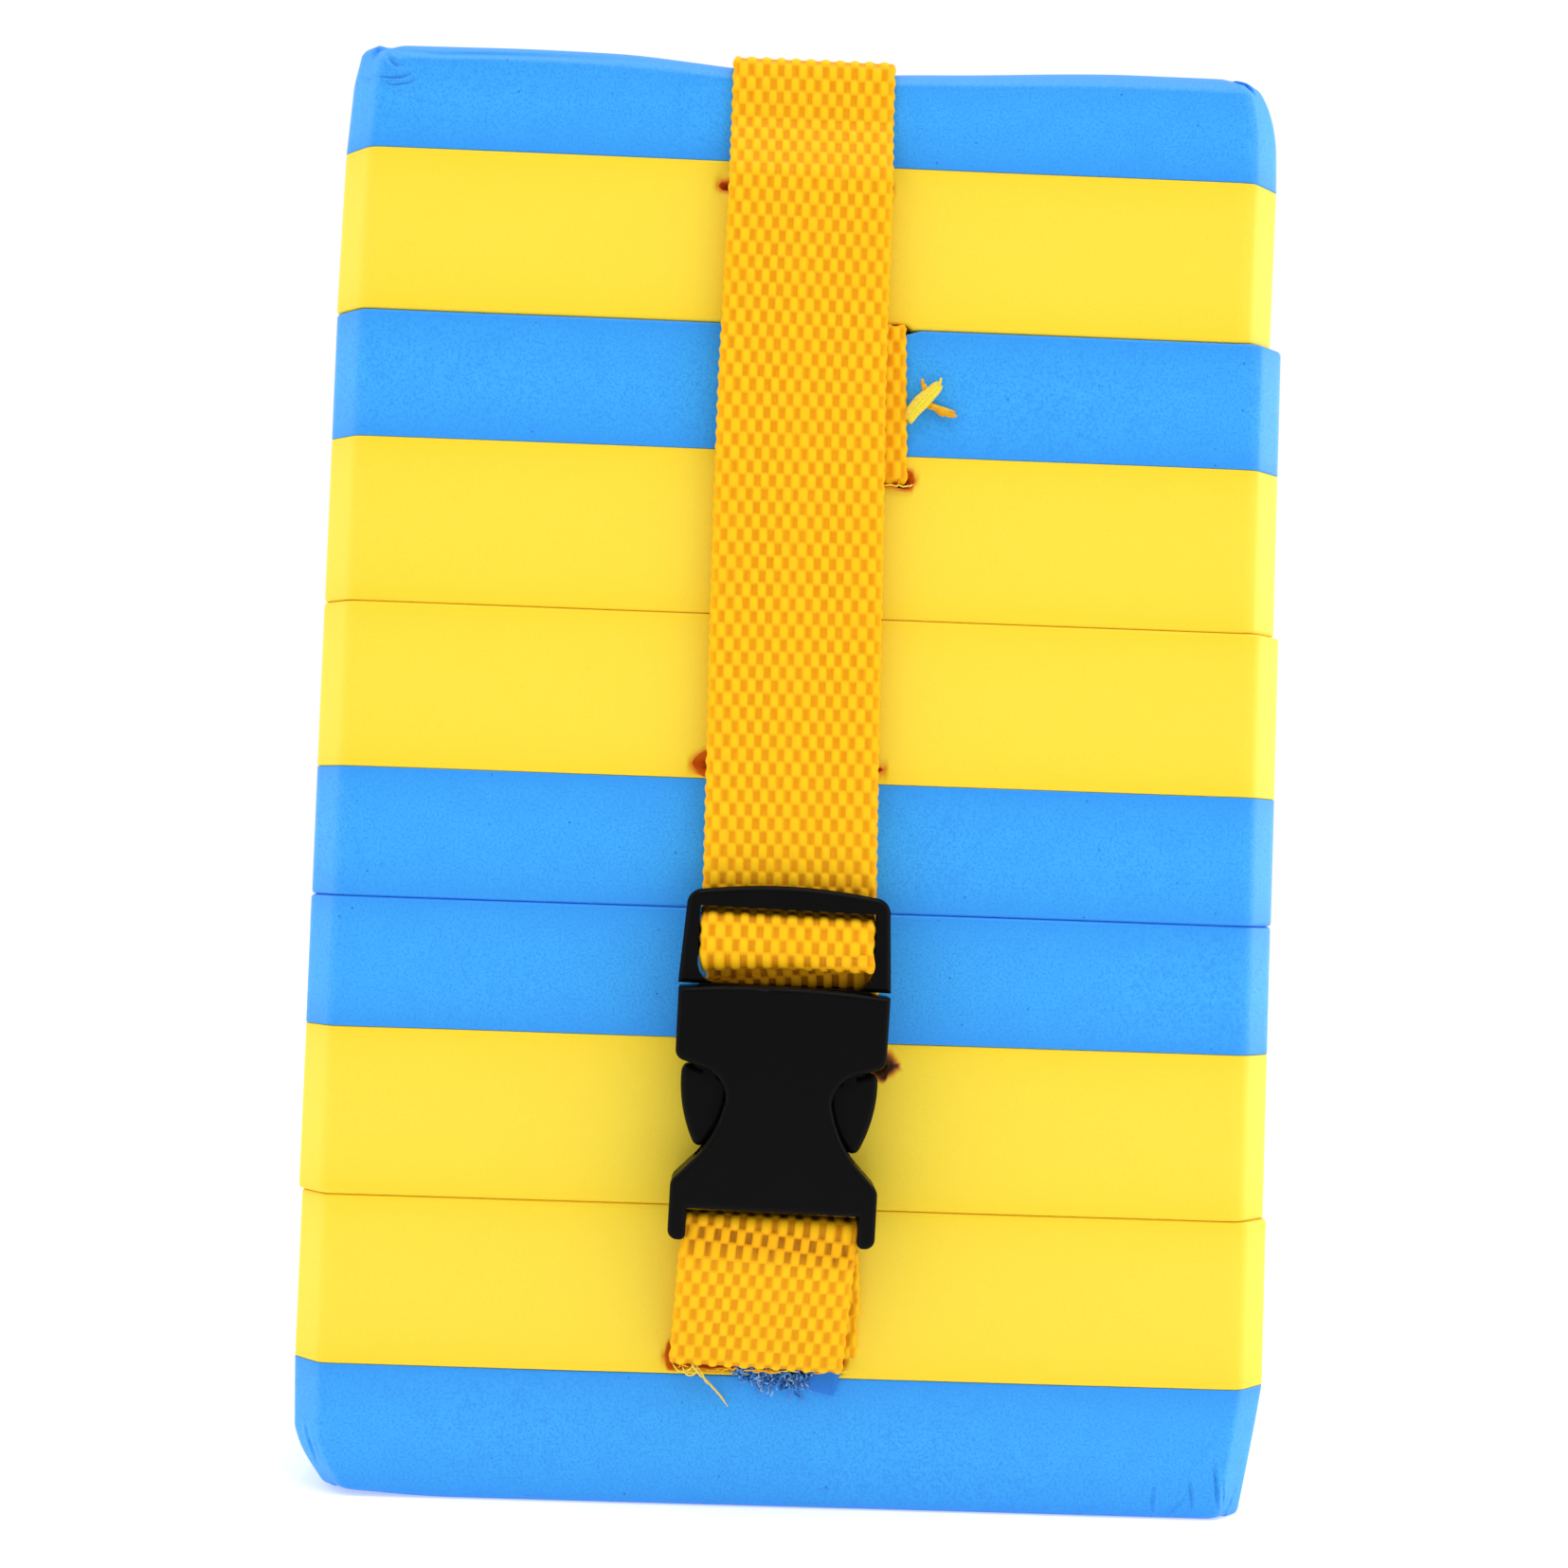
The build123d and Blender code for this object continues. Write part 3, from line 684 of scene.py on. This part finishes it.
def belt_loop():
    """The sewn loop: out of the lowest slot, up round the socket's bar and back in."""
    slot_z = SLOT_Z[5] + 0.2
    route = [
        front_point(-4.0, -26.0, slot_z - 0.8),
        front_point(-3.9, 2.75, slot_z - 0.9, 0.03),
        buckle_point(9.3, -47.5, -0.5),
        buckle_point(9.25, -40.9),
        buckle_point(4.4, -40.9),
        buckle_point(4.4, -47.5, 0.4),
        front_point(-0.9, 1.4, 33.0, -0.01),
        front_point(-0.8, 1.0, slot_z + 0.8, -0.01),
        front_point(-0.9, -26.0, slot_z + 0.8),
    ]
    # Painted shade darkens the strap at the height of the socket's bar.
    piece, _ = webbing("belt_loop", route, 1.7, side=-1, bar_shade_heights=(MOUTH_Z - 44.6,))
    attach(piece, "root")
    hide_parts("belt_buckle_loop")


def belt_threaded():
    """The belt's way up through the blocks: in and out of every slot."""
    front, back = WEB / 2, -DEPTH - WEB / 2
    route = [
        front_point(-2.9, -60.0, SLOT_Z[5] + 0.8),
        front_point(-2.9, back, SLOT_Z[5] + 0.8),
        front_point(1.9, back, SLOT_Z[4]),
        front_point(1.9, front, SLOT_Z[4]),
        front_point(-1.5, front, SLOT_Z[3]),
        front_point(-1.5, back, SLOT_Z[3]),
        front_point(3.1, back, SLOT_Z[2]),
        front_point(3.1, front, SLOT_Z[2] + 0.1),
        front_point(2.0, front, GAP_Z),
        front_point(2.0, back, GAP_Z),
        front_point(BELT_X, back, SLOT_Z[1]),
        front_point(BELT_X, -16.0, SLOT_Z[1]),
    ]
    piece, _ = webbing("belt_threaded", route, 1.1, side=-1, coarse_inside=True)
    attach(piece, "root")
    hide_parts("belt_threaded_run")


# ---------------------------------------------------------------- materials
def plug(socket, value):
    """Link another node's output to a socket, or set a plain number, vector or colour."""
    if isinstance(value, bpy.types.NodeSocket):
        socket.id_data.links.new(value, socket)
    elif socket.type == "RGBA" and len(value) == 3:
        socket.default_value = (*value, 1)
    else:
        socket.default_value = value


def new_material(name, base, roughness, specular=0.5):
    """A principled material with its colour, roughness and specular level."""
    material = bpy.data.materials.new(name)
    material.use_nodes = True
    shader = material.node_tree.nodes["Principled BSDF"]
    plug(shader.inputs["Base Color"], base)
    plug(shader.inputs["Roughness"], roughness)
    plug(shader.inputs["Specular IOR Level"], specular)
    return material, shader


def node(material, kind, settings=None, **inputs):
    """Add a shader node, set its properties and plug or set its inputs by name."""
    made = material.node_tree.nodes.new(kind)
    for key, value in (settings or {}).items():
        setattr(made, key, value)
    for key, value in inputs.items():
        plug(made.inputs[key.replace("_", " ")], value)
    return made


def mix_colours(material, factor, first, second, blend="MIX"):
    """Colour output of first and second mixed by factor. Each may be a socket or a colour."""
    made = node(material, "ShaderNodeMix", {"data_type": "RGBA", "blend_type": blend})
    sockets = [made.inputs[0], made.inputs[6], made.inputs[7]]
    for socket, value in zip(sockets, (factor, first, second)):
        plug(socket, value)
    return made.outputs[2]


def multiply(material, first, second):
    """Product of two values."""
    made = node(material, "ShaderNodeMath", {"operation": "MULTIPLY"})
    for socket, value in zip(made.inputs, (first, second)):
        plug(socket, value)
    return made.outputs[0]


def map_range(material, value, low, high, to_low=0.0, to_high=1.0):
    """Value from low..high spread over to_low..to_high."""
    limits = {"From Min": low, "From Max": high, "To Min": to_low, "To Max": to_high}
    return node(material, "ShaderNodeMapRange", Value=value, **limits).outputs["Result"]


def attribute(material, name):
    """The per-point number of that name."""
    return node(material, "ShaderNodeAttribute", {"attribute_name": name}).outputs["Fac"]


def own_place(material):
    """Coordinates fixed to the piece, in metres."""
    return node(material, "ShaderNodeTexCoord").outputs["Object"]


def noise_texture(material, place, scale, detail=2.0):
    """Soft noise between 0 and 1."""
    return node(material, "ShaderNodeTexNoise", Vector=place, Scale=scale, Detail=detail).outputs["Fac"]


def colour_ramp(material, factor, stops):
    """The colour that a factor has among stops, each a position and a colour."""
    made = node(material, "ShaderNodeValToRGB", Fac=factor)
    elements = made.color_ramp.elements
    for element, (position, colour) in zip((elements[0], elements[1]), (stops[0], stops[-1])):
        element.position = position
        element.color = (*colour, 1)
    for position, colour in stops[1:-1]:
        elements.new(position).color = (*colour, 1)
    return made.outputs["Color"]


def add_relief(material, shader, height, strength, distance):
    """A fine relief on the surface."""
    bump = node(material, "ShaderNodeBump", Strength=strength, Distance=distance, Height=height)
    plug(shader.inputs["Normal"], bump.outputs["Normal"])


FOAM_COLOURS = {
    "blue": {"base": (0.038, 0.42, 0.98), "deep": (0.018, 0.28, 0.86), "pore": (0.010, 0.11, 0.5)},
    "yellow": {"base": (0.97, 0.735, 0.044), "deep": (0.95, 0.66, 0.010), "pore": (0.84, 0.50, 0.015)},
}
FOAM_GRAIN = {"blue": 1.0, "yellow": 0.35}  # how strongly the cells show
# Orange of the slots' walls and mouths.
SLOT_ORANGE = (0.86, 0.22, 0.004)
# Painted shade deep in the slots, and the dark spot beside slot 4.
DARK_SHADE_AND_SPOT = (0.045, 0.012, 0.003)


@cache
def foam_material(colour):
    """Closed-cell foam: fine mottling of its cells, scattered open pores, orange slots with painted shade
    deep inside them, and a dark spot beside slot 4.
    """
    tones = FOAM_COLOURS[colour]
    grain = FOAM_GRAIN[colour]
    material, shader = new_material(f"{colour}_foam", tones["base"], 0.55, 0.4)
    plug(shader.inputs["Sheen Weight"], 0.1)
    plug(shader.inputs["Sheen Roughness"], 0.4)
    place = own_place(material)
    cells = noise_texture(material, place, 2300.0)
    patches = noise_texture(material, place, 210.0, 3.0)
    pores = node(material, "ShaderNodeTexVoronoi", Vector=place, Scale=420.0)
    darker = map_range(material, cells, 0.40, 0.70, 0.0, 0.95 * grain)
    coloured = mix_colours(material, darker, tones["base"], tones["deep"])
    darker = map_range(material, patches, 0.4, 0.75, 0.0, 0.22 * grain)
    coloured = mix_colours(material, darker, coloured, tones["deep"])
    darker = map_range(material, attribute(material, "rim"), 0.0, 1.0, 0.0, 0.8)
    coloured = mix_colours(material, darker, coloured, tones["deep"])
    dot = map_range(material, pores.outputs["Distance"], 0.05, 0.12, 0.8 * grain, 0.0)
    pick = node(material, "ShaderNodeSeparateColor", Color=pores.outputs["Color"]).outputs[0]
    dot = multiply(material, dot, map_range(material, pick, 0.90, 0.93))
    coloured = mix_colours(material, dot, coloured, tones["pore"])
    # Orange in and round the slots.
    slot_orange_share = map_range(material, attribute(material, "slot_orange"), 0.02, 0.75)
    coloured = mix_colours(material, slot_orange_share, coloured, SLOT_ORANGE)
    # Painted shade deep in the slots, and the dark spot beside slot 4, darken towards this colour.
    uneven = map_range(material, patches, 0.3, 0.6, 0.9, 1.0)
    shade_and_spot_share = map_range(material, multiply(material, attribute(material, "shade_and_spot"), uneven), 0.0, 0.82)
    coloured = mix_colours(material, shade_and_spot_share, coloured, DARK_SHADE_AND_SPOT)
    plug(shader.inputs["Base Color"], coloured)
    add_relief(material, shader, cells, 0.22, 0.00012)
    return material


@cache
def webbing_material():
    """Polypropylene webbing: painted shade in the weave's hollows and where it bends round a buckle bar,
    painted highlight streaks and fine relief along the warp's filaments.
    """
    material, shader = new_material("yellow_webbing", (0.95, 0.5, 0.01), 0.52, 0.08)
    uv = node(material, "ShaderNodeUVMap", {"uv_map": "UVMap"}).outputs["UV"]
    stretched = node(material, "ShaderNodeMapping", Vector=uv, Scale=(5200.0, 420.0, 1.0)).outputs["Vector"]
    filaments = noise_texture(material, stretched, 1.0)
    tone = map_range(material, noise_texture(material, uv, 180.0), 0.35, 0.7, 0.0, 0.22)
    # Painted shade: the colour darkens from the floats down into the hollows of the weave.
    stops = [
        (0.0, (1.0, 0.59, 0.010)),
        (0.3, (0.96, 0.48, 0.006)),
        (0.7, (0.84, 0.31, 0.002)),
        (1.0, (0.30, 0.07, 0.001)),
    ]
    coloured = colour_ramp(material, attribute(material, "pit"), stops)
    coloured = mix_colours(material, tone, coloured, (0.93, 0.42, 0.006))
    # Painted highlight: lighter streaks along the filaments stand in for their shine.
    shine = map_range(material, filaments, 0.3, 0.8, 0.0, 0.25)
    coloured = mix_colours(material, shine, coloured, (1.0, 0.64, 0.018))
    plug(shader.inputs["Base Color"], coloured)
    add_relief(material, shader, filaments, 0.35, 0.00006)
    return material


@cache
def buckle_material():
    """Satin black moulded plastic with a fine spark-eroded grain."""
    material, shader = new_material("black_plastic", (0.0028, 0.0027, 0.0029), 0.38, 0.06)
    place = own_place(material)
    flow = noise_texture(material, place, 160.0)
    plug(shader.inputs["Roughness"], map_range(material, flow, 0.3, 0.7, 0.36, 0.47))
    add_relief(material, shader, noise_texture(material, place, 5200.0, 3.0), 0.12, 0.00005)
    return material


@cache
def thread_material():
    """Twisted sewing thread."""
    material, shader = new_material("sewing_thread", (0.93, 0.62, 0.08), 0.6)
    twist = map_range(material, noise_texture(material, own_place(material), 2600.0), 0.3, 0.7)
    coloured = mix_colours(material, twist, (0.80, 0.50, 0.06), (0.97, 0.74, 0.16))
    plug(shader.inputs["Base Color"], coloured)
    return material


def toned_material(name, colours, roughness=0.6):
    """A material that runs through the colours with each strand's tone."""
    material, shader = new_material(name, colours[0], roughness, 0.2)
    stops = [(number / (len(colours) - 1), colour) for number, colour in enumerate(colours)]
    coloured = colour_ramp(material, attribute(material, "tone"), stops)
    uneven = noise_texture(material, own_place(material), 3000.0)
    shade = map_range(material, uneven, 0.35, 0.7, 0.0, 0.35)
    coloured = mix_colours(material, shade, coloured, (0.55, 0.5, 0.45), "MULTIPLY")
    plug(shader.inputs["Base Color"], coloured)
    return material


@cache
def fray_material():
    """Loose yarn: dark orange through yellow to cream."""
    colours = [(0.62, 0.20, 0.004), (0.93, 0.48, 0.010), (0.93, 0.78, 0.04), (0.96, 0.62, 0.16)]
    return toned_material("loose_yarn", colours)


# ---------------------------------------------------------------- buckle and its stitching
def dress(material, *names):
    """CAD parts that keep their shape get their material."""
    for name in names:
        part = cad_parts[name]
        part.data.materials.clear()
        part.data.materials.append(material)


# ---------------------------------------------------------------- frays, scraps and stitches
def smooth_path(points):
    """The points with their corners cut three times."""
    line = points
    for _ in range(3):
        quarter = 0.75 * line[:-1] + 0.25 * line[1:]
        three_quarters = 0.25 * line[:-1] + 0.75 * line[1:]
        inner = np.stack([quarter, three_quarters], axis=1).reshape(-1, 3)
        line = np.concatenate([line[:1], inner, line[-1:]])
    return line


def strands(name, paths, sides=6):
    """One mesh of thin tapered tubes. Each path holds its points as (x, out, z), a radius and a tone."""
    points, faces, tones = [], [], []
    for path, radius, tone in paths:
        line = smooth_path(np.array(path, float) * (1, -1, 1) + (0, FRONT_Y, 0))
        along = np.linspace(0, 1, len(line))
        girth = radius * np.clip(1.6 * np.sin(math.pi * np.clip(along, 0.07, 0.93)), 0.3, 1.0)
        tangents = np.gradient(line, axis=0)
        tangents /= np.linalg.norm(tangents, axis=1)[:, None]
        helper = np.where(abs(tangents[:, 1:2]) > 0.8, [[1.0, 0, 0]], [[0, 1.0, 0]])
        first = np.cross(tangents, helper)
        first /= np.linalg.norm(first, axis=1)[:, None]
        second = np.cross(tangents, first)
        base = len(points)
        for centre, size, u, v in zip(line, girth, first, second):
            for side in range(sides):
                angle = 2 * math.pi * side / sides
                points.append(centre + size * (math.cos(angle) * u + math.sin(angle) * v))
                tones.append(tone)
        faces += tube_faces(len(line), sides, base)
    return mesh_object(name, points, faces, {"tone": tones})


def loose_piece(piece, material):
    """Give a small extra piece its material, and let it lie on the stack."""
    piece.data.materials.append(material)
    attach(piece, "root")


def wander(start, end, steps, spread, random):
    """A wavering path from start to end."""
    shares = np.linspace(0, 1, steps)[:, None]
    swing = random.normal(0, spread, (steps, 3)) * np.sin(math.pi * shares)
    path = np.array(start) + (np.array(end) - np.array(start)) * shares + swing
    path[:, 1] = np.maximum(path[:, 1], 0.15)
    return path


def upper_fray():
    """The tuft at the second strap's edge: a twisted yellow leaf over a ragged orange shred."""
    random = np.random.default_rng(7)
    paths = []
    for number in range(11):
        turn = 2 * math.pi * number / 11
        bulge = 0.85 * math.cos(turn)
        out = 1.5 + 0.45 * math.sin(turn)
        path = [
            (17.5 - 0.7 * bulge, out - 0.5, 195.0 + 0.5 * bulge),
            (18.3 - 0.8 * bulge, out, 196.6 + 0.6 * bulge),
            (20.0 - bulge, out + 0.3, 198.6 + 0.8 * bulge),
            (22.0 - 0.7 * bulge, out + 0.3, 200.6 + 0.5 * bulge),
            (23.1 - 0.5 * bulge, out + 0.5, 201.8 + 0.5 * bulge),
        ]
        paths.append((path, 0.42, 0.62 + 0.2 * random.random()))
    paths.append(([(21.6, 2.2, 200.2), (23.0, 2.6, 201.4), (23.2, 2.7, 202.8)], 0.24, 0.7))
    paths.append(([(20.6, 1.6, 199.6), (20.1, 2.0, 201.0), (19.8, 2.3, 202.6)], 0.3, 0.25))
    paths.append(([(20.9, 1.4, 199.4), (20.7, 1.8, 200.8), (20.3, 2.2, 201.7)], 0.24, 0.45))
    for number in range(12):
        share = number / 11
        tip_out = 0.8 + 0.6 * random.random()
        tip = (24.0 + 2.2 * share + 0.3 * random.random(), tip_out, 195.9 + 1.3 * random.random())
        root = (20.6 + 0.5 * random.random(), 0.8, 198.9 - 0.9 * share)
        paths.append((wander(root, tip, 5, 0.16, random), 0.4, 0.05 + 0.35 * random.random()))
    piece = strands("belt_fray_upper", paths)
    loose_piece(piece, fray_material())


def lower_fray():
    """Threads that hang out of the lowest slot, and melted ends along the straps' edges."""
    random = np.random.default_rng(21)
    rim_z = SLOT_Z[5] - 2.0
    longest = [
        (-15.6, 2.6, rim_z + 1.8), (-14.6, 3.4, rim_z + 0.6), (-13.4, 3.0, rim_z - 0.8),
        (-13.0, 2.2, 23.2), (-11.2, 1.4, 21.2), (-9.6, 0.8, 19.4), (-8.6, 0.5, 17.8),
    ]
    beside = [
        (-14.6, 2.6, rim_z + 1.2), (-13.2, 3.2, rim_z - 0.2),
        (-12.6, 2.4, rim_z - 2.0), (-11.6, 1.6, 21.9),
    ]
    left_curl = [
        (-18.6, 2.4, rim_z + 1.2), (-17.4, 3.0, rim_z - 0.2),
        (-15.6, 3.0, rim_z + 0.2), (-14.8, 2.8, rim_z + 1.4),
    ]
    right_curl = [
        (-16.9, 2.6, rim_z + 0.9), (-16.0, 3.4, rim_z - 0.7),
        (-14.4, 3.4, rim_z - 0.3), (-14.2, 2.8, rim_z + 1.0),
    ]
    paths = [(longest, 0.2, 0.9), (beside, 0.14, 0.8), (left_curl, 0.17, 0.7), (right_curl, 0.16, 0.85)]
    for number in range(16):
        x = -18.0 + 29.5 * number / 16 + random.normal(0, 0.5)
        start = (x, 1.8 + 0.8 * random.random(), rim_z + 0.2 + 0.5 * random.random())
        end_x = x + 2.0 + 3.0 * random.random()
        end = (end_x, 1.8 + 1.4 * random.random(), rim_z + 0.1 + 0.7 * random.random())
        path = wander(start, end, 6, 0.28, random)
        paths.append((path, 0.13 + 0.07 * random.random(), 0.15 + 0.6 * random.random()))
    for number in range(7):
        x = 12.2 + 0.9 * number
        start = (x, 0.7, SLOT_Z[2] - 1.3)
        end = (x + 1.3, 0.9, SLOT_Z[2] - 1.5 + 0.5 * random.random())
        paths.append((wander(start, end, 5, 0.16, random), 0.15, 0.55 + 0.3 * random.random()))
    corner = [(16.2, 0.5, SLOT_Z[2] - 1.0), (16.5, 1.1, SLOT_Z[2] - 0.1), (16.3, 0.8, SLOT_Z[2] + 0.7)]
    paths.append((corner, 0.18, 0.3))
    piece = strands("belt_fray_lower", paths)
    loose_piece(piece, fray_material())


def foam_scrap():
    """A torn, fluffy bit of foam that hangs out of the lowest slot."""
    random = np.random.default_rng(3)
    paths = []
    for _ in range(520):
        share = random.random()
        x = -7.2 + 12.6 * share
        z = 25.0 - 1.9 * share + random.normal(0, 1.0) * (0.7 + 0.5 * math.sin(math.pi * share))
        out = abs(random.normal(0.7, 0.55)) + 0.1
        start = (x, out, min(z, 26.2))
        swing = random.normal(0, 0.9, 3)
        end = (x + swing[0], abs(out + 0.5 * swing[1]), min(z + swing[2], 26.4))
        paths.append((wander(start, end, 4, 0.35, random), 0.16, random.random()))
    piece = strands("foam_scrap", paths, sides=5)
    colours = [(0.02, 0.09, 0.32), (0.05, 0.22, 0.62), (0.13, 0.36, 0.80), (0.34, 0.56, 0.90)]
    loose_piece(piece, toned_material("torn_foam", colours, 0.8))


def foam_flap():
    """A smooth cut sliver of foam beside the scrap, with one sharp corner."""
    corners = np.array([(4.6, 24.6), (11.4, 24.9), (10.0, 20.4), (5.0, 21.4)])
    shares = np.linspace(0, 1, 9)
    grid, faces = foam_shell(shares, np.array([0.0, 1.0]), shares)
    across, layer, down = grid[:, 0:1], grid[:, 1:2], grid[:, 2:3]
    upper = corners[0] * (1 - across) + corners[1] * across
    lower = corners[3] * (1 - across) + corners[2] * across
    flat = upper * (1 - down) + lower * down
    out = 0.25 + 0.5 * down * across + 0.35 * layer
    points = np.hstack([flat[:, 0:1], FRONT_Y - out, flat[:, 1:2]])
    piece = mesh_object("foam_flap", points, faces, {"tone": [0.5] * len(points)})
    colours = [(0.02, 0.20, 0.78), (0.03, 0.25, 0.85)]
    loose_piece(piece, toned_material("cut_foam", colours, 0.5))


# Along the hem, out of it, and up.
STITCH = [(-1.15, 0.5, 0), (-0.8, -0.12, 0), (0, -0.3, 0.05), (0.8, -0.12, 0), (1.15, 0.5, 0)]


def hem_stitches():
    """Two rows of stitches across the folded hem on the back."""
    surface = -DEPTH - 3 * WEB - 0.2
    paths = []
    for z in (TAIL_FOOT + 3.0, TAIL_FOOT + HEM - 3.0):
        for number in range(9):
            x = BELT_X + 0.3 + 2.8 * (number - 4)
            path = [(x + along, surface + out, z + up) for along, out, up in STITCH]
            paths.append((path, 0.32, 0.6))
    piece = strands("hem_stitches", paths, sides=8)
    piece.data.materials.append(thread_material())
    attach(piece, "root")
    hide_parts("hem_stitching")


# ---------------------------------------------------------------- light, floor and camera
def area_light(name, place, target, size, power):
    """A soft square light in metres that faces its target."""
    data = bpy.data.lights.new(name, "AREA")
    data.size = size
    data.energy = power
    lamp = bpy.data.objects.new(name, data)
    bpy.context.scene.collection.objects.link(lamp)
    lamp.location = place
    lamp.rotation_euler = (Vector(target) - Vector(place)).to_track_quat("-Z", "Y").to_euler()


BRIGHT = 1.2  # the surroundings beside and above the object
FRONT_SHARE, BACK_SHARE = 0.03, 0.5  # how bright they are in front of it and behind it, as shares of that


def surroundings():
    """A bright room, dark in front of the object and dimmer behind it, that the camera sees as white."""
    world = bpy.data.worlds.new("studio")
    bpy.context.scene.world = world
    world.use_nodes = True
    white = (1, 1, 1)
    direction = node(world, "ShaderNodeTexCoord").outputs["Generated"]
    towards_back = node(world, "ShaderNodeSeparateXYZ", Vector=direction).outputs["Y"]
    stops = [(0.04, (FRONT_SHARE,) * 3), (0.19, white), (0.78, white), (0.97, (BACK_SHARE,) * 3)]
    shares = colour_ramp(world, map_range(world, towards_back, -1.0, 1.0), stops)
    lit = world.node_tree.nodes["Background"]
    plug(lit.inputs["Color"], white)
    plug(lit.inputs["Strength"], multiply(world, shares, BRIGHT))
    seen = node(world, "ShaderNodeBackground", Color=white, Strength=1.0)
    straight = node(world, "ShaderNodeLightPath").outputs["Is Camera Ray"]
    mixed = node(world, "ShaderNodeMixShader", Fac=straight)
    plug(mixed.inputs[1], lit.outputs["Background"])
    plug(mixed.inputs[2], seen.outputs["Background"])
    plug(world.node_tree.nodes["World Output"].inputs["Surface"], mixed.outputs["Shader"])


def studio():
    """Bright white surroundings, two side lights, one from above, and a pale floor."""
    bpy.context.scene.view_settings.view_transform = "Standard"
    surroundings()
    middle = (0, 0, 0.13)
    area_light("right_light", (1.2, 0.3, 0.25), middle, 0.9, 7.0)
    area_light("left_light", (-1.2, 0.3, 0.25), middle, 0.9, 1.5)
    area_light("top_light", (0.1, -0.35, 1.3), middle, 0.8, 5.0)
    corners = [(-3000, -3000, 0), (3000, -3000, 0), (3000, 3000, 0), (-3000, 3000, 0)]
    floor = mesh_object("floor", corners, [(0, 1, 2, 3)])
    material, shader = new_material("floor_white", (0.72, 0.72, 0.72), 0.8)
    plug(shader.inputs["Emission Color"], (1, 1, 1))
    plug(shader.inputs["Emission Strength"], 0.42)
    floor.data.materials.append(material)


CAMERA_OUT = 391.0  # from the foam's front
CAMERA_X = -11.1
CAMERA_Z = 113.4
CAMERA_TURN = math.radians(-1.267)
CAMERA_PITCH = math.radians(2.238)
CAMERA_ROLL = math.radians(-2.013)


def camera():
    """The viewing angle: low, straight on, and tilted about two degrees."""
    data = bpy.data.cameras.new("camera")
    data.lens = 50.0
    data.sensor_width = 36.0
    eye = bpy.data.objects.new("camera", data)
    bpy.context.scene.collection.objects.link(eye)
    turn = Matrix.Rotation(CAMERA_TURN, 4, "Z")
    pitch = Matrix.Rotation(CAMERA_PITCH, 4, "X")
    roll = Matrix.Rotation(CAMERA_ROLL, 4, "Y")
    looking = Matrix.Rotation(math.radians(90), 4, "X")
    place = Matrix.Translation(Vector((CAMERA_X, FRONT_Y - CAMERA_OUT, CAMERA_Z)) * MM)
    eye.matrix_world = place @ turn @ pitch @ roll @ looking
    bpy.context.scene.camera = eye


# ---------------------------------------------------------------- build
camera()
studio()
for block in BLOCKS:
    foam_layer(block, "blue")
    foam_layer(block, "yellow")
tail_start = belt_front()
belt_tail(tail_start)
belt_loop()
belt_threaded()
dress(buckle_material(), "buckle_female", "buckle_male", "release_arm_left", "release_arm_right")
dress(thread_material(), "loop_stitching")
upper_fray()
lower_fray()
foam_scrap()
foam_flap()
hem_stitches()
